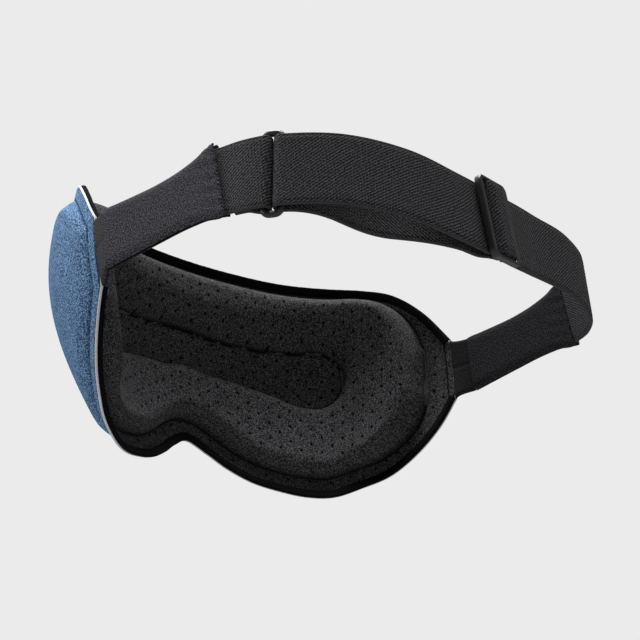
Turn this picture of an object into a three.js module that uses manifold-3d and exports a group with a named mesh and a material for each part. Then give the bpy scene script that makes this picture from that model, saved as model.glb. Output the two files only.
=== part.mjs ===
// Sleep eye mask: a curved face shell with a contoured lining, two fabric wings and an elastic strap that
// doubles back through a slider. Millimetres, +Z up. The blue front faces -Y, the wearer's left is +X and
// the strap runs round the back of the head at +Y. X = 0 is the plane of symmetry of the mask.
import * as THREE from 'three';
import { mergeVertices } from 'three/addons/utils/BufferGeometryUtils.js';
import Module from 'manifold-3d';

const wasm = await Module();
wasm.setup();

// Driving dimensions
const HALF_ARC = 118; // from the nose to a temple seam, along the curve of the mask
const BEND = [1.04, 0.47]; // how the curve turns towards the temples, in radians
const LEAN = [-4.11, 10.3, 1.1]; // how the mask leans to the face above and below its middle
const LEAN_SPAN = 50;
const GAP = 0.3; // clearance between touching pieces

const COVER_THICK = 0.8;
const SHELL_THICK = 1.2;
const TRAY_THICK = 0.6;
const LINING_THICK = 0.8;
const RIM_FRONT = 0.9; // front face of the cover at the rim, in front of the middle surface
const RIM_BACK = 1.0; // back face of the lining at the rim
const RIM_INSET = 1.9; // the layers stop this far inside the bound edge
const COVER_INSET = 2.2; // the cover stops at the piping
const TEMPLE_REACH = 0.8; // the inner layers stop at this part of the way to the temples

// The front dome: where it starts inside the edge, and how wide its wall is by the nose and at the sides
const DOME = {
  low: 3.4, start: 4, wall: 6, sideStart: 5.5, sideWall: 4, slope: 0.95, sideFrom: 25, blend: 30,
};

// The face pad: its height at the cheeks, brow and temples, and where it starts inside the edge
const PAD = {
  height: 8.6, brow: 3.4, browZ: 31, browSpan: 9, temple: 5.4, templeFrom: 62, templeSpan: 32,
  rise: 6.5, templeRise: 10, riseFrom: 76, riseSpan: 26,
};
const FOOT = {
  top: 6, bottom: 9.3, side: 1, sideAt: 104, sideSpan: 20, from: 18, blend: 36, end: 6, endFrom: 93, endSpan: 14,
};
const RECESS_FLOOR = 2.2;
const RECESS_WALL = 6;

const WING_START = [86, 73.8]; // plan position of the seam between hinge panel and wing
const WING_END = [81.5, 126];
const SEAM_GAP = 0.5;
const WING_FACE = 0.8;
const WING_CORE = 1.4;

const WEB_WIDTH = 25;
const WEB_THICK = 1.3;
const RING_AT = 18; // distances along the strap, from the left wing
const SLIDER_AT = 98.5;
const RING_PITCH = 2.85; // from the middle of the ring to each of its bars
const BAR_RADIUS = 1.1;

// The slider, measured from its middle bar along the strap: two outer bars, rails and a low middle bar
const SLIDER = {
  left: 8.2, leftBar: 1.8, right: 9.5, rightBar: 3.2, slot: 12.9, rail: 1.3, thick: 2.4, corner: 2.6,
};
const MIDDLE_BAR = { radius: 0.8, drop: 1.2 };
const LOOP_RADIUS = MIDDLE_BAR.radius + GAP + WEB_THICK / 2;

const BUTTON_Z = 22;
const BUTTON_RADIUS = 6.5;
const LIGHT_Z = 34.2;
const BOARD = { width: 30, low: 9, high: 37, front: -2.8, back: -1.6 };
const SWITCH = { side: 6, height: 3 };
const BATTERY = { s: 38, z: 18, length: 30, height: 18, thick: 3.6, depth: -3.6 };
const MOTOR = { s: 72, z: 18, radius: 5, thick: 2.6, depth: -2.6 };
const LEAD_RADIUS = 0.7;
const PORT = { width: 9, thick: 3.4, wall: 0.4, depth: 6.5, tilt: 25, inset: 6, trimWall: 1.6, trimDepth: 3 };
const TONGUE = { width: 6.6, thick: 0.8, short: 1 };

const clamp = (x, low, high) => Math.min(high, Math.max(low, x));
const lerp = (a, b, t) => a + (b - a) * t;
const ease = (x) => clamp(x, 0, 1) ** 2 * (3 - 2 * clamp(x, 0, 1));
const swell = (x) => Math.sqrt(1 - (1 - clamp(x, 0, 1)) ** 2);
const crest = (x) => 1 - (1 - x) ** 1.3; // a nearly straight slope with a soft crest
const bell = (x) => Math.exp(-(x ** 2));

// A smooth function through (x, y) points, level at its first point.
function through(points) {
  const last = points.length - 1;
  const slopes = points.map((point, i) => {
    const before = points[Math.max(i - 1, 0)];
    const after = points[Math.min(i + 1, last)];
    return i === 0 ? 0 : (after[1] - before[1]) / (after[0] - before[0]);
  });
  return (x) => {
    const to = clamp(points.findIndex((point) => point[0] >= x), 1, last);
    const i = x >= points[last][0] ? last : to;
    const [x0, y0] = points[i - 1];
    const [x1, y1] = points[i];
    const width = x1 - x0;
    const t = clamp((x - x0) / width, 0, 1);
    const bend = t * (1 - t);
    const straight = lerp(y0, y1, ease(t));
    return straight + bend * width * ((1 - t) * slopes[i - 1] - t * slopes[i]);
  };
}

// Outline of the mask, as heights along its curve, and the shapes that follow it
const topEdge = through([[0, 50.8], [25, 50], [50, 47.5], [70, 45.1], [85, 42.3], [97, 37.6], [108, 27.6],
  [118, 12.8]]);
const bottomEdge = through([[0, -25.4], [8, -29.3], [16, -34.8], [26, -39.9], [38, -43.3], [50, -45.8],
  [62, -46.2], [75, -42.9], [88, -39.1], [100, -31.6], [110, -22.7], [118, -12.8]]);
const domeHeight = through([[0, 12.5], [40, 12], [60, 10.2], [70, 8.6], [80, 6.6], [95, 4.2], [108, 2.8],
  [118, 2]]);
const recessTop = through([[0, 22.4], [20, 20.6], [40, 19.2], [60, 18.2]]);
const recessBottom = through([[0, 6.8], [10, 4.9], [20, 4.1], [30, 2.3], [40, -0.5], [50, -4.6],
  [60, -6.5]]);
const RECESS_END = { s: 58.5, z: 6.4, radius: 12.6 };

// Plan of the mask: a curve that starts along +X at the nose and turns back to the temple
const PLAN_STEP = 0.5;
const plan = [{ x: 0, y: 0 }];
const turnAt = (s) => BEND[0] * (s / HALF_ARC) + BEND[1] * (s / HALF_ARC) ** 2;
for (let s = 0; s < HALF_ARC + 6; s += PLAN_STEP) {
  const middle = turnAt(s + PLAN_STEP / 2);
  const { x, y } = plan[plan.length - 1];
  plan.push({ x: x + Math.cos(middle) * PLAN_STEP, y: y + Math.sin(middle) * PLAN_STEP });
}

// A point of the mask: s along the curve from the nose, z up, d towards the face from the middle surface
function maskPoint(s, z, d) {
  const along = Math.abs(s);
  const cell = clamp(Math.floor(along / PLAN_STEP), 0, plan.length - 2);
  const part = along / PLAN_STEP - cell;
  const turn = turnAt(along);
  const h = z / LEAN_SPAN;
  const lean = LEAN[0] * h + LEAN[1] * h * h + LEAN[2] * (along / HALF_ARC) ** 2 * h + d;
  const x = lerp(plan[cell].x, plan[cell + 1].x, part) - Math.sin(turn) * lean;
  const y = lerp(plan[cell].y, plan[cell + 1].y, part) + Math.cos(turn) * lean;
  return new THREE.Vector3(Math.sign(s) * x, y, z);
}

const EDGE_STEP = 2;
const edge = [];
for (let s = 0; s <= HALF_ARC; s += EDGE_STEP) {
  edge.push([s, topEdge(s)], [s, bottomEdge(s)]);
}
for (let z = bottomEdge(HALF_ARC); z < topEdge(HALF_ARC); z += EDGE_STEP) {
  edge.push([HALF_ARC, z]);
}
function insetAt(s, z) {
  return Math.min(...edge.map((point) => Math.hypot(point[0] - Math.abs(s), point[1] - z)));
}

// Front face of the dome, in front of the middle surface: round by the nose, with a slanted wall at the sides
function domeAt(s, z) {
  const along = Math.abs(s);
  const inset = insetAt(s, z);
  const height = domeHeight(along);
  const full = lerp(Math.min(DOME.low, height), height, ease((z + 44) / 70));
  const round = swell((inset - DOME.start) / DOME.wall);
  const slantWidth = Math.max(DOME.sideWall, DOME.slope * (full - RIM_FRONT));
  const slant = clamp((inset - DOME.sideStart) / slantWidth, 0, 1);
  return lerp(RIM_FRONT, full, lerp(round, crest(slant), ease((along - DOME.sideFrom) / DOME.blend)));
}

// Back face of the lining: a brow roll, an eye recess that runs across the nose, a cheek pad and high temples
function padAt(s, z) {
  const along = Math.abs(s);
  const brow = PAD.brow * bell((z - PAD.browZ) / PAD.browSpan);
  const temple = PAD.temple * ease((along - PAD.templeFrom) / PAD.templeSpan);
  const lower = FOOT.bottom - FOOT.side * bell((along - FOOT.sideAt) / FOOT.sideSpan);
  const end = FOOT.end * ease((along - FOOT.endFrom) / FOOT.endSpan);
  const start = lerp(FOOT.top, lower, ease((FOOT.from - z) / FOOT.blend)) + end;
  const rise = lerp(PAD.rise, PAD.templeRise, ease((along - PAD.riseFrom) / PAD.riseSpan));
  const foot = swell((insetAt(s, z) - start) / rise);
  const round = RECESS_END.radius - Math.hypot(along - RECESS_END.s, z - RECESS_END.z);
  const band = Math.min(recessTop(along) - z, z - recessBottom(along));
  const inside = along < RECESS_END.s ? Math.max(band, round) : round;
  const wall = swell(-inside / RECESS_WALL);
  return RIM_BACK + foot * lerp(RECESS_FLOOR, PAD.height + brow + temple - RIM_BACK, wall);
}

// A closed solid from corner points and triangles, turned so that its faces point out
function solid(points, faces) {
  const volume = faces.reduce((sum, [a, b, c]) => {
    return sum + points[a].dot(new THREE.Vector3().crossVectors(points[b], points[c]));
  }, 0);
  const index = faces.flatMap(([a, b, c]) => (volume > 0 ? [a, b, c] : [a, c, b]));
  const geometry = new THREE.BufferGeometry().setFromPoints(points);
  geometry.setIndex(index);
  return geometry;
}

// How far up an edge to go for each millimetre square to it
function steepness(edgeAt, s) {
  const along = Math.abs(s);
  return Math.hypot(1, (edgeAt(along + 1) - edgeAt(Math.max(along - 1, 0))) / 2);
}

// A layer between two height functions over a grid of the mask's outline, inset from its edge. Layers that
// nest share one grid: an inner one takes fewer of its rows and stops short of the temples, at reach.
const ALONG = [0, 8, 16, 26, 38, 50, 61, 72, 83, 93, 99, 104, 108.5, 113, HALF_ARC].map((s) => s / HALF_ARC);
const STATIONS = [...ALONG.slice(1).reverse().map((t) => -t), ...ALONG];
const COARSE = [0, 0.05, 0.11, 0.2, 0.34, 0.5, 0.66, 0.8, 0.89, 0.95, 1];
const FINE = [0, 0.06, 0.105, 0.15, 0.23, 0.33, 0.44, 0.5, 0.58, 0.65, 0.72, 0.79, 0.88, 0.925, 0.955, 1];
function layer(inset, rows, frontAt, backAt, reach = 1) {
  const points = [];
  const faces = [];
  const stations = STATIONS.filter((t) => Math.abs(t) <= reach);
  for (const t of stations) {
    const s = t * (HALF_ARC - inset);
    const low = bottomEdge(Math.abs(s)) + inset * steepness(bottomEdge, s);
    const high = topEdge(Math.abs(s)) - inset * steepness(topEdge, s);
    for (const v of rows) {
      const z = lerp(low, high, v);
      points.push(maskPoint(s, z, frontAt(s, z)), maskPoint(s, z, backAt(s, z)));
    }
  }
  const at = (i, j, side) => (i * rows.length + j) * 2 + side;
  const quad = (a, b, c, d) => faces.push([a, b, c], [a, c, d]);
  const lastI = stations.length - 1;
  const lastJ = rows.length - 1;
  for (let i = 0; i < lastI; i += 1) {
    for (let j = 0; j < lastJ; j += 1) {
      quad(at(i, j, 0), at(i + 1, j, 0), at(i + 1, j + 1, 0), at(i, j + 1, 0));
      quad(at(i, j, 1), at(i, j + 1, 1), at(i + 1, j + 1, 1), at(i + 1, j, 1));
    }
    quad(at(i, 0, 0), at(i, 0, 1), at(i + 1, 0, 1), at(i + 1, 0, 0));
    quad(at(i, lastJ, 0), at(i + 1, lastJ, 0), at(i + 1, lastJ, 1), at(i, lastJ, 1));
  }
  for (let j = 0; j < lastJ; j += 1) {
    quad(at(0, j, 0), at(0, j + 1, 0), at(0, j + 1, 1), at(0, j, 1));
    quad(at(lastI, j, 0), at(lastI, j, 1), at(lastI, j + 1, 1), at(lastI, j + 1, 0));
  }
  return solid(points, faces);
}

// Rings of equal size joined into a tube, closed with caps or back onto its first ring
function loft(rings, section, closed = false) {
  const count = rings[0].length;
  const faces = [];
  const last = closed ? rings.length : rings.length - 1;
  for (let i = 0; i < last; i += 1) {
    for (let j = 0; j < count; j += 1) {
      const a = i * count + j;
      const b = i * count + ((j + 1) % count);
      const c = ((i + 1) % rings.length) * count;
      faces.push([a, b, c + ((j + 1) % count)], [a, c + ((j + 1) % count), c + j]);
    }
  }
  if (!closed) {
    const outline = section.map(([x, y]) => new THREE.Vector2(x, y));
    const anticlockwise = THREE.ShapeUtils.area(outline) > 0;
    const end = (rings.length - 1) * count;
    THREE.ShapeUtils.triangulateShape(outline, []).forEach(([a, b, c]) => {
      const [near, far] = anticlockwise ? [[a, c, b], [a, b, c]] : [[a, b, c], [a, c, b]];
      faces.push(near, far.map((corner) => end + corner));
    });
  }
  return solid(rings.flat(), faces);
}

// A section of (out, d) points swept along part of the mask's outline
function alongEdge(stations, section, closed = false) {
  const rings = stations.map(([s, z], i) => {
    const before = stations[closed ? (i + stations.length - 1) % stations.length : Math.max(i - 1, 0)];
    const after = stations[closed ? (i + 1) % stations.length : Math.min(i + 1, stations.length - 1)];
    const run = new THREE.Vector2(after[0] - before[0], after[1] - before[1]).normalize();
    return section.map(([out, d]) => maskPoint(s + run.y * out, z - run.x * out, d));
  });
  return loft(rings, section, closed);
}

const HALVED = STATIONS.flatMap((t, i) => (i ? [(t + STATIONS[i - 1]) / 2, t] : [t]));
const EDGE_STATIONS = HALVED.map((t) => t * HALF_ARC);
const upperEdge = [...EDGE_STATIONS].reverse().map((s) => [s, topEdge(Math.abs(s))]);
const lowerEdge = EDGE_STATIONS.map((s) => [s, bottomEdge(Math.abs(s))]);
const BINDING = [[0, 0.25], [0, 1.4], [-0.4, 1.8], [-2.5, 1.8], [-2.5, 1.3], [-0.6, 1.3], [-0.6, 0.25]];
const PIPING_RADIUS = 0.45;
const PIPING_AT = [-0.7, -0.45];
const PIPING = [0, 1, 2, 3, 4].map((i) => {
  const angle = (i / 5) * Math.PI * 2;
  return [PIPING_AT[0] - PIPING_RADIUS * Math.cos(angle), PIPING_AT[1] + PIPING_RADIUS * Math.sin(angle)];
});

// The strap's line is the outside face of the webbing, from the left wing round the back of the head to the
// right wing.
const STRAP = [[81.5, 126, -3.1], [79, 136, -4.6], [73.9, 145, -5.7], [60, 158, -7.5], [42, 166.4, -10.5],
  [22.4, 169.5, -13.9], [3, 166.6, -12.7], [-15.7, 160.1, -8], [-34.4, 154, -3.6], [-54, 150.4, -2.6],
  [-71.4, 143.5, -3.4], [-77.8, 136, -3.6], [-81.5, 126, -3.1]];
const strapPoints = STRAP.map(([x, y, z]) => new THREE.Vector3(x, y, z));
const strapLine = new THREE.CatmullRomCurve3(strapPoints, false, 'centripetal');
const STRAP_LENGTH = strapLine.getLength();
const END_SKEW = 0.1; // the sewn ends lean by this slope, their lower corner furthest back

function strapFrame(along) {
  const u = clamp(along / STRAP_LENGTH, 0, 1);
  const point = strapLine.getPointAt(u);
  const run = strapLine.getTangentAt(u);
  const out = new THREE.Vector3(run.y, -run.x, 0).normalize();
  const up = new THREE.Vector3().crossVectors(out, run);
  const fromEnd = Math.min(along, STRAP_LENGTH - along);
  const skewed = new THREE.Vector3(0, -END_SKEW, 1);
  const width = skewed.lerp(up, ease(fromEnd / RING_AT)).normalize();
  return { point, run, out, width };
}

function strapPoint(along, out, up) {
  const frame = strapFrame(along);
  return frame.point.addScaledVector(frame.out, out).addScaledVector(frame.width, up);
}

// A path of (along, out, drop) points on the strap, swept with the webbing's rectangular section
function webbing(path) {
  const half = WEB_THICK / 2;
  const rings = path.map(([along, out, drop = 0], i) => {
    const before = path[Math.max(i - 1, 0)];
    const after = path[Math.min(i + 1, path.length - 1)];
    const run = new THREE.Vector2(after[0] - before[0], after[1] - before[1]).normalize();
    return [[1, 1], [-1, 1], [-1, -1], [1, -1]].map(([side, up]) => {
      const push = side * half;
      return strapPoint(along - run.y * push, out + run.x * push, (up * WEB_WIDTH) / 2 - drop);
    });
  });
  return loft(rings, [[1, 1], [-1, 1], [-1, -1], [1, -1]]);
}

// Points of an arc round a bar, from one angle to another, in degrees
function arcRound(along, out, radius, from, to, steps) {
  return Array.from({ length: steps + 1 }, (_, i) => {
    const angle = (lerp(from, to, i / steps) * Math.PI) / 180;
    return [along + radius * Math.cos(angle), out + radius * Math.sin(angle)];
  });
}

function evenly(from, to, step, outAt) {
  const steps = Math.max(1, Math.round(Math.abs(to - from) / step));
  return Array.from({ length: steps + 1 }, (_, i) => {
    const along = lerp(from, to, i / steps);
    return [along, outAt(along)];
  });
}

const FLAT = -WEB_THICK / 2; // middle of a single web, inside the strap's line
const RING_OUT = FLAT - BAR_RADIUS - GAP - WEB_THICK / 2;
const RING_TURN = FLAT - RING_OUT;
const SLIDER_OUT = FLAT + WEB_THICK / 2 + GAP + SLIDER.thick / 2;
const BAR_OUT = SLIDER_OUT - MIDDLE_BAR.drop;
const WEAVE_HIGH = BAR_OUT + LOOP_RADIUS + WEB_THICK + GAP;
const WEAVE_RISE = { from: 5.6, over: 3.1, step: 1 }; // where the weave climbs to pass over the middle bar
const STEP = 7;
const WEAVE_ENDS = [SLIDER_AT - 14.5, SLIDER_AT + 14.5];
const LOOP_START = SLIDER_AT - 10.5;
const INNER_DROP = -4.4; // the inner web hangs this far inside the strap's line by the slider
const SLACK = { bulge: 5.5, sag: 3 }; // how far it bulges in and sags down half way to the ring
const TURNED_IN = FLAT - WEB_THICK - GAP; // a layer of webbing that lies against the inside of another
const TURNED_OVER = 6; // along the strap, from the ring to where the turned layer comes to lie so

function leftElastic() {
  const front = RING_AT - RING_PITCH;
  const inside = (along) => lerp(RING_OUT - RING_TURN, TURNED_IN, ease((front - 1 - along) / TURNED_OVER));
  return webbing([
    ...evenly(2 * SEAM_GAP, front - 1, STEP / 2, () => FLAT),
    ...arcRound(front, RING_OUT, RING_TURN, 90, -90, 6),
    ...evenly(front - 1, 5 * SEAM_GAP, STEP / 4, inside),
  ]);
}

function doubledWebbing() {
  const rear = RING_AT + RING_PITCH;
  const inner = (along) => {
    const part = (along - rear) / (LOOP_START - rear);
    const slack = Math.sin(Math.PI * part) ** 2;
    return [lerp(RING_OUT - RING_TURN, INNER_DROP, part) - SLACK.bulge * slack, SLACK.sag * slack];
  };
  return webbing([
    ...evenly(WEAVE_ENDS[0] - GAP, rear + 1, STEP, () => FLAT),
    ...arcRound(rear, RING_OUT, RING_TURN, 90, 270, 6),
    ...evenly(rear + 1, LOOP_START - GAP, STEP, inner).map(([along, [out, drop]]) => [along, out, drop]),
  ]);
}

function sliderWeave() {
  const lift = (along) => ease((WEAVE_RISE.from - Math.abs(along - SLIDER_AT)) / WEAVE_RISE.over);
  const rise = (along) => lerp(FLAT, WEAVE_HIGH, lift(along));
  return webbing(evenly(WEAVE_ENDS[0], WEAVE_ENDS[1], WEAVE_RISE.step, rise));
}

function sewnLoop() {
  return webbing([
    [LOOP_START, INNER_DROP],
    [SLIDER_AT - 6.5, INNER_DROP + 0.5],
    [SLIDER_AT - 3, BAR_OUT - LOOP_RADIUS - 0.8],
    ...arcRound(SLIDER_AT, BAR_OUT, LOOP_RADIUS, -90, 150, 8),
  ]);
}

function rightRun() {
  return webbing(evenly(WEAVE_ENDS[1] + GAP, STRAP_LENGTH - 2 * SEAM_GAP, STEP, () => FLAT));
}

// The ring: a round bar bent into a rectangle with round corners
function strapRing() {
  const half = WEB_WIDTH / 2 + 1.6;
  const corner = 1.8;
  const path = [];
  for (const [side, up, from] of [[1, 1, 0], [-1, 1, 90], [-1, -1, 180], [1, -1, 270]]) {
    for (let i = 0; i <= 2; i += 1) {
      const angle = ((from + i * 45) * Math.PI) / 180;
      const along = side * (RING_PITCH - corner) + corner * Math.cos(angle);
      path.push([along, up * (half - corner) + corner * Math.sin(angle), angle]);
    }
  }
  const frame = strapFrame(RING_AT);
  const sides = 8;
  const rings = path.map(([along, up, angle]) => Array.from({ length: sides }, (_, k) => {
    const turn = ((k + 0.5) / sides) * Math.PI * 2;
    const spread = BAR_RADIUS * Math.cos(turn);
    return frame.point.clone()
      .addScaledVector(frame.run, along + spread * Math.cos(angle))
      .addScaledVector(frame.width, up + spread * Math.sin(angle))
      .addScaledVector(frame.out, RING_OUT + BAR_RADIUS * Math.sin(turn));
  }));
  return loft(rings, [], true);
}

function roundedRect(width, height, radius) {
  const x = width / 2;
  const y = height / 2;
  const shape = new THREE.Shape();
  shape.moveTo(x, y - radius);
  shape.absarc(x - radius, y - radius, radius, 0, Math.PI / 2, false);
  shape.absarc(-x + radius, y - radius, radius, Math.PI / 2, Math.PI, false);
  shape.absarc(-x + radius, -y + radius, radius, Math.PI, Math.PI * 1.5, false);
  shape.absarc(x - radius, -y + radius, radius, Math.PI * 1.5, Math.PI * 2, false);
  return shape;
}

// Sets a geometry drawn in X, Y with depth Z into a place with its own right, up and out directions
function place(geometry, origin, right, up, out) {
  const matrix = new THREE.Matrix4().makeBasis(right, up, out).setPosition(origin);
  return geometry.applyMatrix4(matrix);
}

function strapSlider() {
  const outline = roundedRect(SLIDER.left + SLIDER.right, 2 * (SLIDER.slot + SLIDER.rail), SLIDER.corner);
  const options = { depth: SLIDER.thick, bevelEnabled: false, curveSegments: 4 };
  const plate = new THREE.ExtrudeGeometry(outline, options);
  plate.translate((SLIDER.right - SLIDER.left) / 2, 0, -SLIDER.thick / 2);
  const from = SLIDER.leftBar - SLIDER.left;
  const to = SLIDER.right - SLIDER.rightBar;
  const slot = new THREE.BoxGeometry(to - from, 2 * SLIDER.slot, 2 * SLIDER.thick);
  slot.translate((from + to) / 2, 0, 0);
  const rodLength = 2 * SLIDER.slot + SLIDER.rail;
  const rod = new THREE.CylinderGeometry(MIDDLE_BAR.radius, MIDDLE_BAR.radius, rodLength, 10);
  const geometry = join(cut(plate, slot), rod.translate(0, 0, -MIDDLE_BAR.drop));
  const { point, run, out, width } = strapFrame(SLIDER_AT);
  const up = width.clone().addScaledVector(run, -width.dot(run)).normalize();
  return place(geometry, point.addScaledVector(out, SLIDER_OUT), run, up, out.clone().crossVectors(run, up));
}

// A wing sheet: from plan position to plan position, between top and bottom curves, front to back
const wingTop = through([[0, 10.8], [0.15, 9.9], [0.45, 8.2], [0.62, 7.9], [0.74, 8.2], [0.84, 8.9],
  [0.92, 10.1], [1, 11]]);
const wingBottom = through([[0, -11.2], [0.2, -11.5], [0.45, -12], [0.62, -12.4], [0.74, -13],
  [0.84, -13.8], [0.92, -15.2], [1, -16.2]]);
function sheet(side, from, to, stations, heights, offset, thick, skew) {
  const start = new THREE.Vector2(...from);
  const finish = new THREE.Vector2(...to);
  const run = finish.clone().sub(start).normalize();
  const rings = stations.map((t) => {
    const spot = start.clone().lerp(finish, t);
    const [high, low] = heights(t);
    const corners = [[high, 0], [high, 1], [low, 1], [low, 0]];
    return corners.map(([z, back]) => {
      const push = offset - back * thick;
      const slide = -skew * t * z;
      const x = spot.x + run.y * push + run.x * slide;
      return new THREE.Vector3(side * x, spot.y - run.x * push + slide, z);
    });
  });
  return loft(rings, [[1, 1], [-1, 1], [-1, -1], [1, -1]]);
}

const WING_STATIONS = [0, 0.15, 0.3, 0.45, 0.6, 0.7, 0.78, 0.86, 0.93, 1];
function wing(side, offset, thick, trim) {
  const reach = WING_END[1] - WING_START[1];
  const start = WING_START.map((value, i) => lerp(value, WING_END[i], (SEAM_GAP + trim) / reach));
  const finish = WING_END.map((value, i) => lerp(value, WING_START[i], trim / reach));
  const heights = (t) => [wingTop(t) - trim, wingBottom(t) + trim];
  return sheet(side, start, finish, WING_STATIONS, heights, offset, thick, END_SKEW);
}

const PANEL = { half: 12.8, topTaper: 2, bottomTaper: 1.6, thick: 2.4 };
function hingePanel(side) {
  const heights = (t) => [PANEL.half - PANEL.topTaper * swell(t), -PANEL.half + PANEL.bottomTaper * swell(t)];
  const seam = maskPoint(HALF_ARC + SEAM_GAP, 0, 0);
  const stations = [0, 0.25, 0.5, 0.75, 1];
  return sheet(side, [seam.x, seam.y], WING_START, stations, heights, PANEL.thick / 2, PANEL.thick, 0);
}

// A block, disc or tube that lies on the mask's curve
function onMask(geometry, s, z, d) {
  const origin = maskPoint(s, z, d);
  const right = maskPoint(s + 1, z, d).sub(maskPoint(s - 1, z, d)).normalize();
  const up = maskPoint(s, z + 1, d).sub(maskPoint(s, z - 1, d)).normalize();
  const out = new THREE.Vector3().crossVectors(right, up).normalize();
  return place(geometry, origin, right, new THREE.Vector3().crossVectors(out, right), out);
}

function lead(points) {
  const extrudePath = new THREE.CatmullRomCurve3(points.map(([s, z, d]) => maskPoint(s, z, d)));
  const section = new THREE.Shape(Array.from({ length: 6 }, (_, i) => {
    const angle = (i / 6) * Math.PI * 2;
    return new THREE.Vector2(LEAD_RADIUS * Math.cos(angle), LEAD_RADIUS * Math.sin(angle));
  }));
  return new THREE.ExtrudeGeometry(section, { steps: 4 * points.length, extrudePath, bevelEnabled: false });
}

function turned(profile, segments = 24) {
  const points = profile.map(([radius, y]) => new THREE.Vector2(radius, y));
  return new THREE.LatheGeometry(points, segments);
}

// The charging port points up and forward out of the top slope of the dome
const portTilt = (PORT.tilt * Math.PI) / 180;
const portRight = new THREE.Vector3(1, 0, 0);
const portOut = new THREE.Vector3(0, -Math.sin(portTilt), Math.cos(portTilt));
const portUp = new THREE.Vector3().crossVectors(portOut, portRight);
const portZ = topEdge(0) - PORT.inset;
const portFace = maskPoint(0.001, portZ, -domeAt(0, portZ)).setX(0).addScaledVector(portOut, 0.3);

function portPrism(width, thick, from, to) {
  const shape = roundedRect(width, thick, thick / 2 - 0.01);
  const options = { depth: to - from, bevelEnabled: false, curveSegments: 6 };
  const geometry = new THREE.ExtrudeGeometry(shape, options);
  return place(geometry.translate(0, 0, from), portFace, portRight, portUp, portOut);
}

function manifold(geometry) {
  const bare = geometry.clone();
  bare.deleteAttribute('normal');
  bare.deleteAttribute('uv');
  const merged = mergeVertices(bare, 1e-4);
  const corners = merged.index.array;
  const kept = [];
  for (let i = 0; i < corners.length; i += 3) {
    const [a, b, c] = [corners[i], corners[i + 1], corners[i + 2]];
    if (a !== b && b !== c && c !== a) {
      kept.push(a, b, c);
    }
  }
  const vertProperties = new Float32Array(merged.attributes.position.array);
  return new wasm.Manifold(new wasm.Mesh({ numProp: 3, vertProperties, triVerts: new Uint32Array(kept) }));
}

function fromManifold(body) {
  const mesh = body.getMesh();
  const geometry = new THREE.BufferGeometry();
  geometry.setAttribute('position', new THREE.BufferAttribute(mesh.vertProperties, 3));
  geometry.setIndex(new THREE.BufferAttribute(mesh.triVerts, 1));
  return geometry;
}

function cut(geometry, ...tools) {
  return fromManifold(tools.reduce((body, tool) => body.subtract(manifold(tool)), manifold(geometry)));
}

function join(...geometries) {
  const [first, ...rest] = geometries.map(manifold);
  return fromManifold(rest.reduce((body, other) => body.add(other), first));
}

// A drill along Y through the front of the mask
function drill(radius, z) {
  return turned([[0, -20], [radius, -20], [radius, -4], [0, -4]], 28).translate(0, 0, z);
}

const coverOuter = (s, z) => -domeAt(s, z);
const coverInner = (s, z) => -domeAt(s, z) + COVER_THICK;
const shellOuter = (s, z) => coverInner(s, z) + GAP;
const shellInner = (s, z) => shellOuter(s, z) + SHELL_THICK;
const trayFront = () => -0.7;
const trayBack = () => trayFront() + TRAY_THICK;
const liningBack = (s, z) => padAt(s, z);
const liningFront = (s, z) => padAt(s, z) - LINING_THICK;
const padBack = (s, z) => liningFront(s, z) - GAP;
const padFront = () => trayBack() + GAP;

const trimWidth = PORT.width + 2 * PORT.trimWall;
const trimThick = PORT.thick + 2 * PORT.trimWall;
const bezelRadius = BUTTON_RADIUS + 1.7;
const lightHole = 1.5;
const frontY = maskPoint(0.001, BUTTON_Z, -domeAt(0, BUTTON_Z)).y;
const switchFront = BOARD.front - SWITCH.height;

function frontCover() {
  const body = layer(COVER_INSET, COARSE, coverOuter, coverInner);
  const port = portPrism(trimWidth + 2 * GAP, trimThick + 2 * GAP, -PORT.depth, 4);
  return cut(body, drill(bezelRadius + GAP, BUTTON_Z), drill(lightHole, LIGHT_Z), port);
}

function frontShell() {
  const body = layer(COVER_INSET, COARSE.slice(2, -2), shellOuter, shellInner, TEMPLE_REACH);
  const port = portPrism(trimWidth + 2 * GAP, trimThick + 2 * GAP, -PORT.depth - 1, 4);
  return cut(body, drill(3, BUTTON_Z), drill(lightHole, LIGHT_Z), port);
}

function buttonCap() {
  const face = frontY - 1;
  const tip = switchFront - 0.8;
  const profile = [[0, face], [BUTTON_RADIUS - 0.8, face], [BUTTON_RADIUS, face + 0.7],
    [BUTTON_RADIUS, face + 1.6], [2.4, face + 1.6], [2.4, tip], [0, tip]];
  return turned(profile, 28).translate(0, 0, BUTTON_Z);
}

function buttonBezel() {
  const inner = BUTTON_RADIUS + GAP;
  const front = frontY - 0.5;
  const profile = [[inner, front + 0.2], [inner + 0.3, front], [bezelRadius - 0.3, front],
    [bezelRadius, front + 0.4], [bezelRadius, frontY + 0.7], [inner, frontY + 0.7], [inner, front + 0.2]];
  return turned(profile, 28).translate(0, 0, BUTTON_Z);
}

function box(width, depth, height, x, y, z) {
  return new THREE.BoxGeometry(width, depth, height).translate(x, y, z);
}

function chargeSocket() {
  const outer = portPrism(PORT.width, PORT.thick, -PORT.depth, -0.3);
  const inside = portPrism(PORT.width - 2 * PORT.wall, PORT.thick - 2 * PORT.wall, 1 - PORT.depth, 1);
  const tongue = portPrism(TONGUE.width, TONGUE.thick, 0.6 - PORT.depth, -TONGUE.short);
  return join(cut(outer, inside), tongue);
}

function socketTrim() {
  const outer = portPrism(trimWidth, trimThick, -PORT.trimDepth, 0);
  return cut(outer, portPrism(PORT.width + 2 * GAP, PORT.thick + 2 * GAP, -PORT.trimDepth - 1, 1));
}

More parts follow.
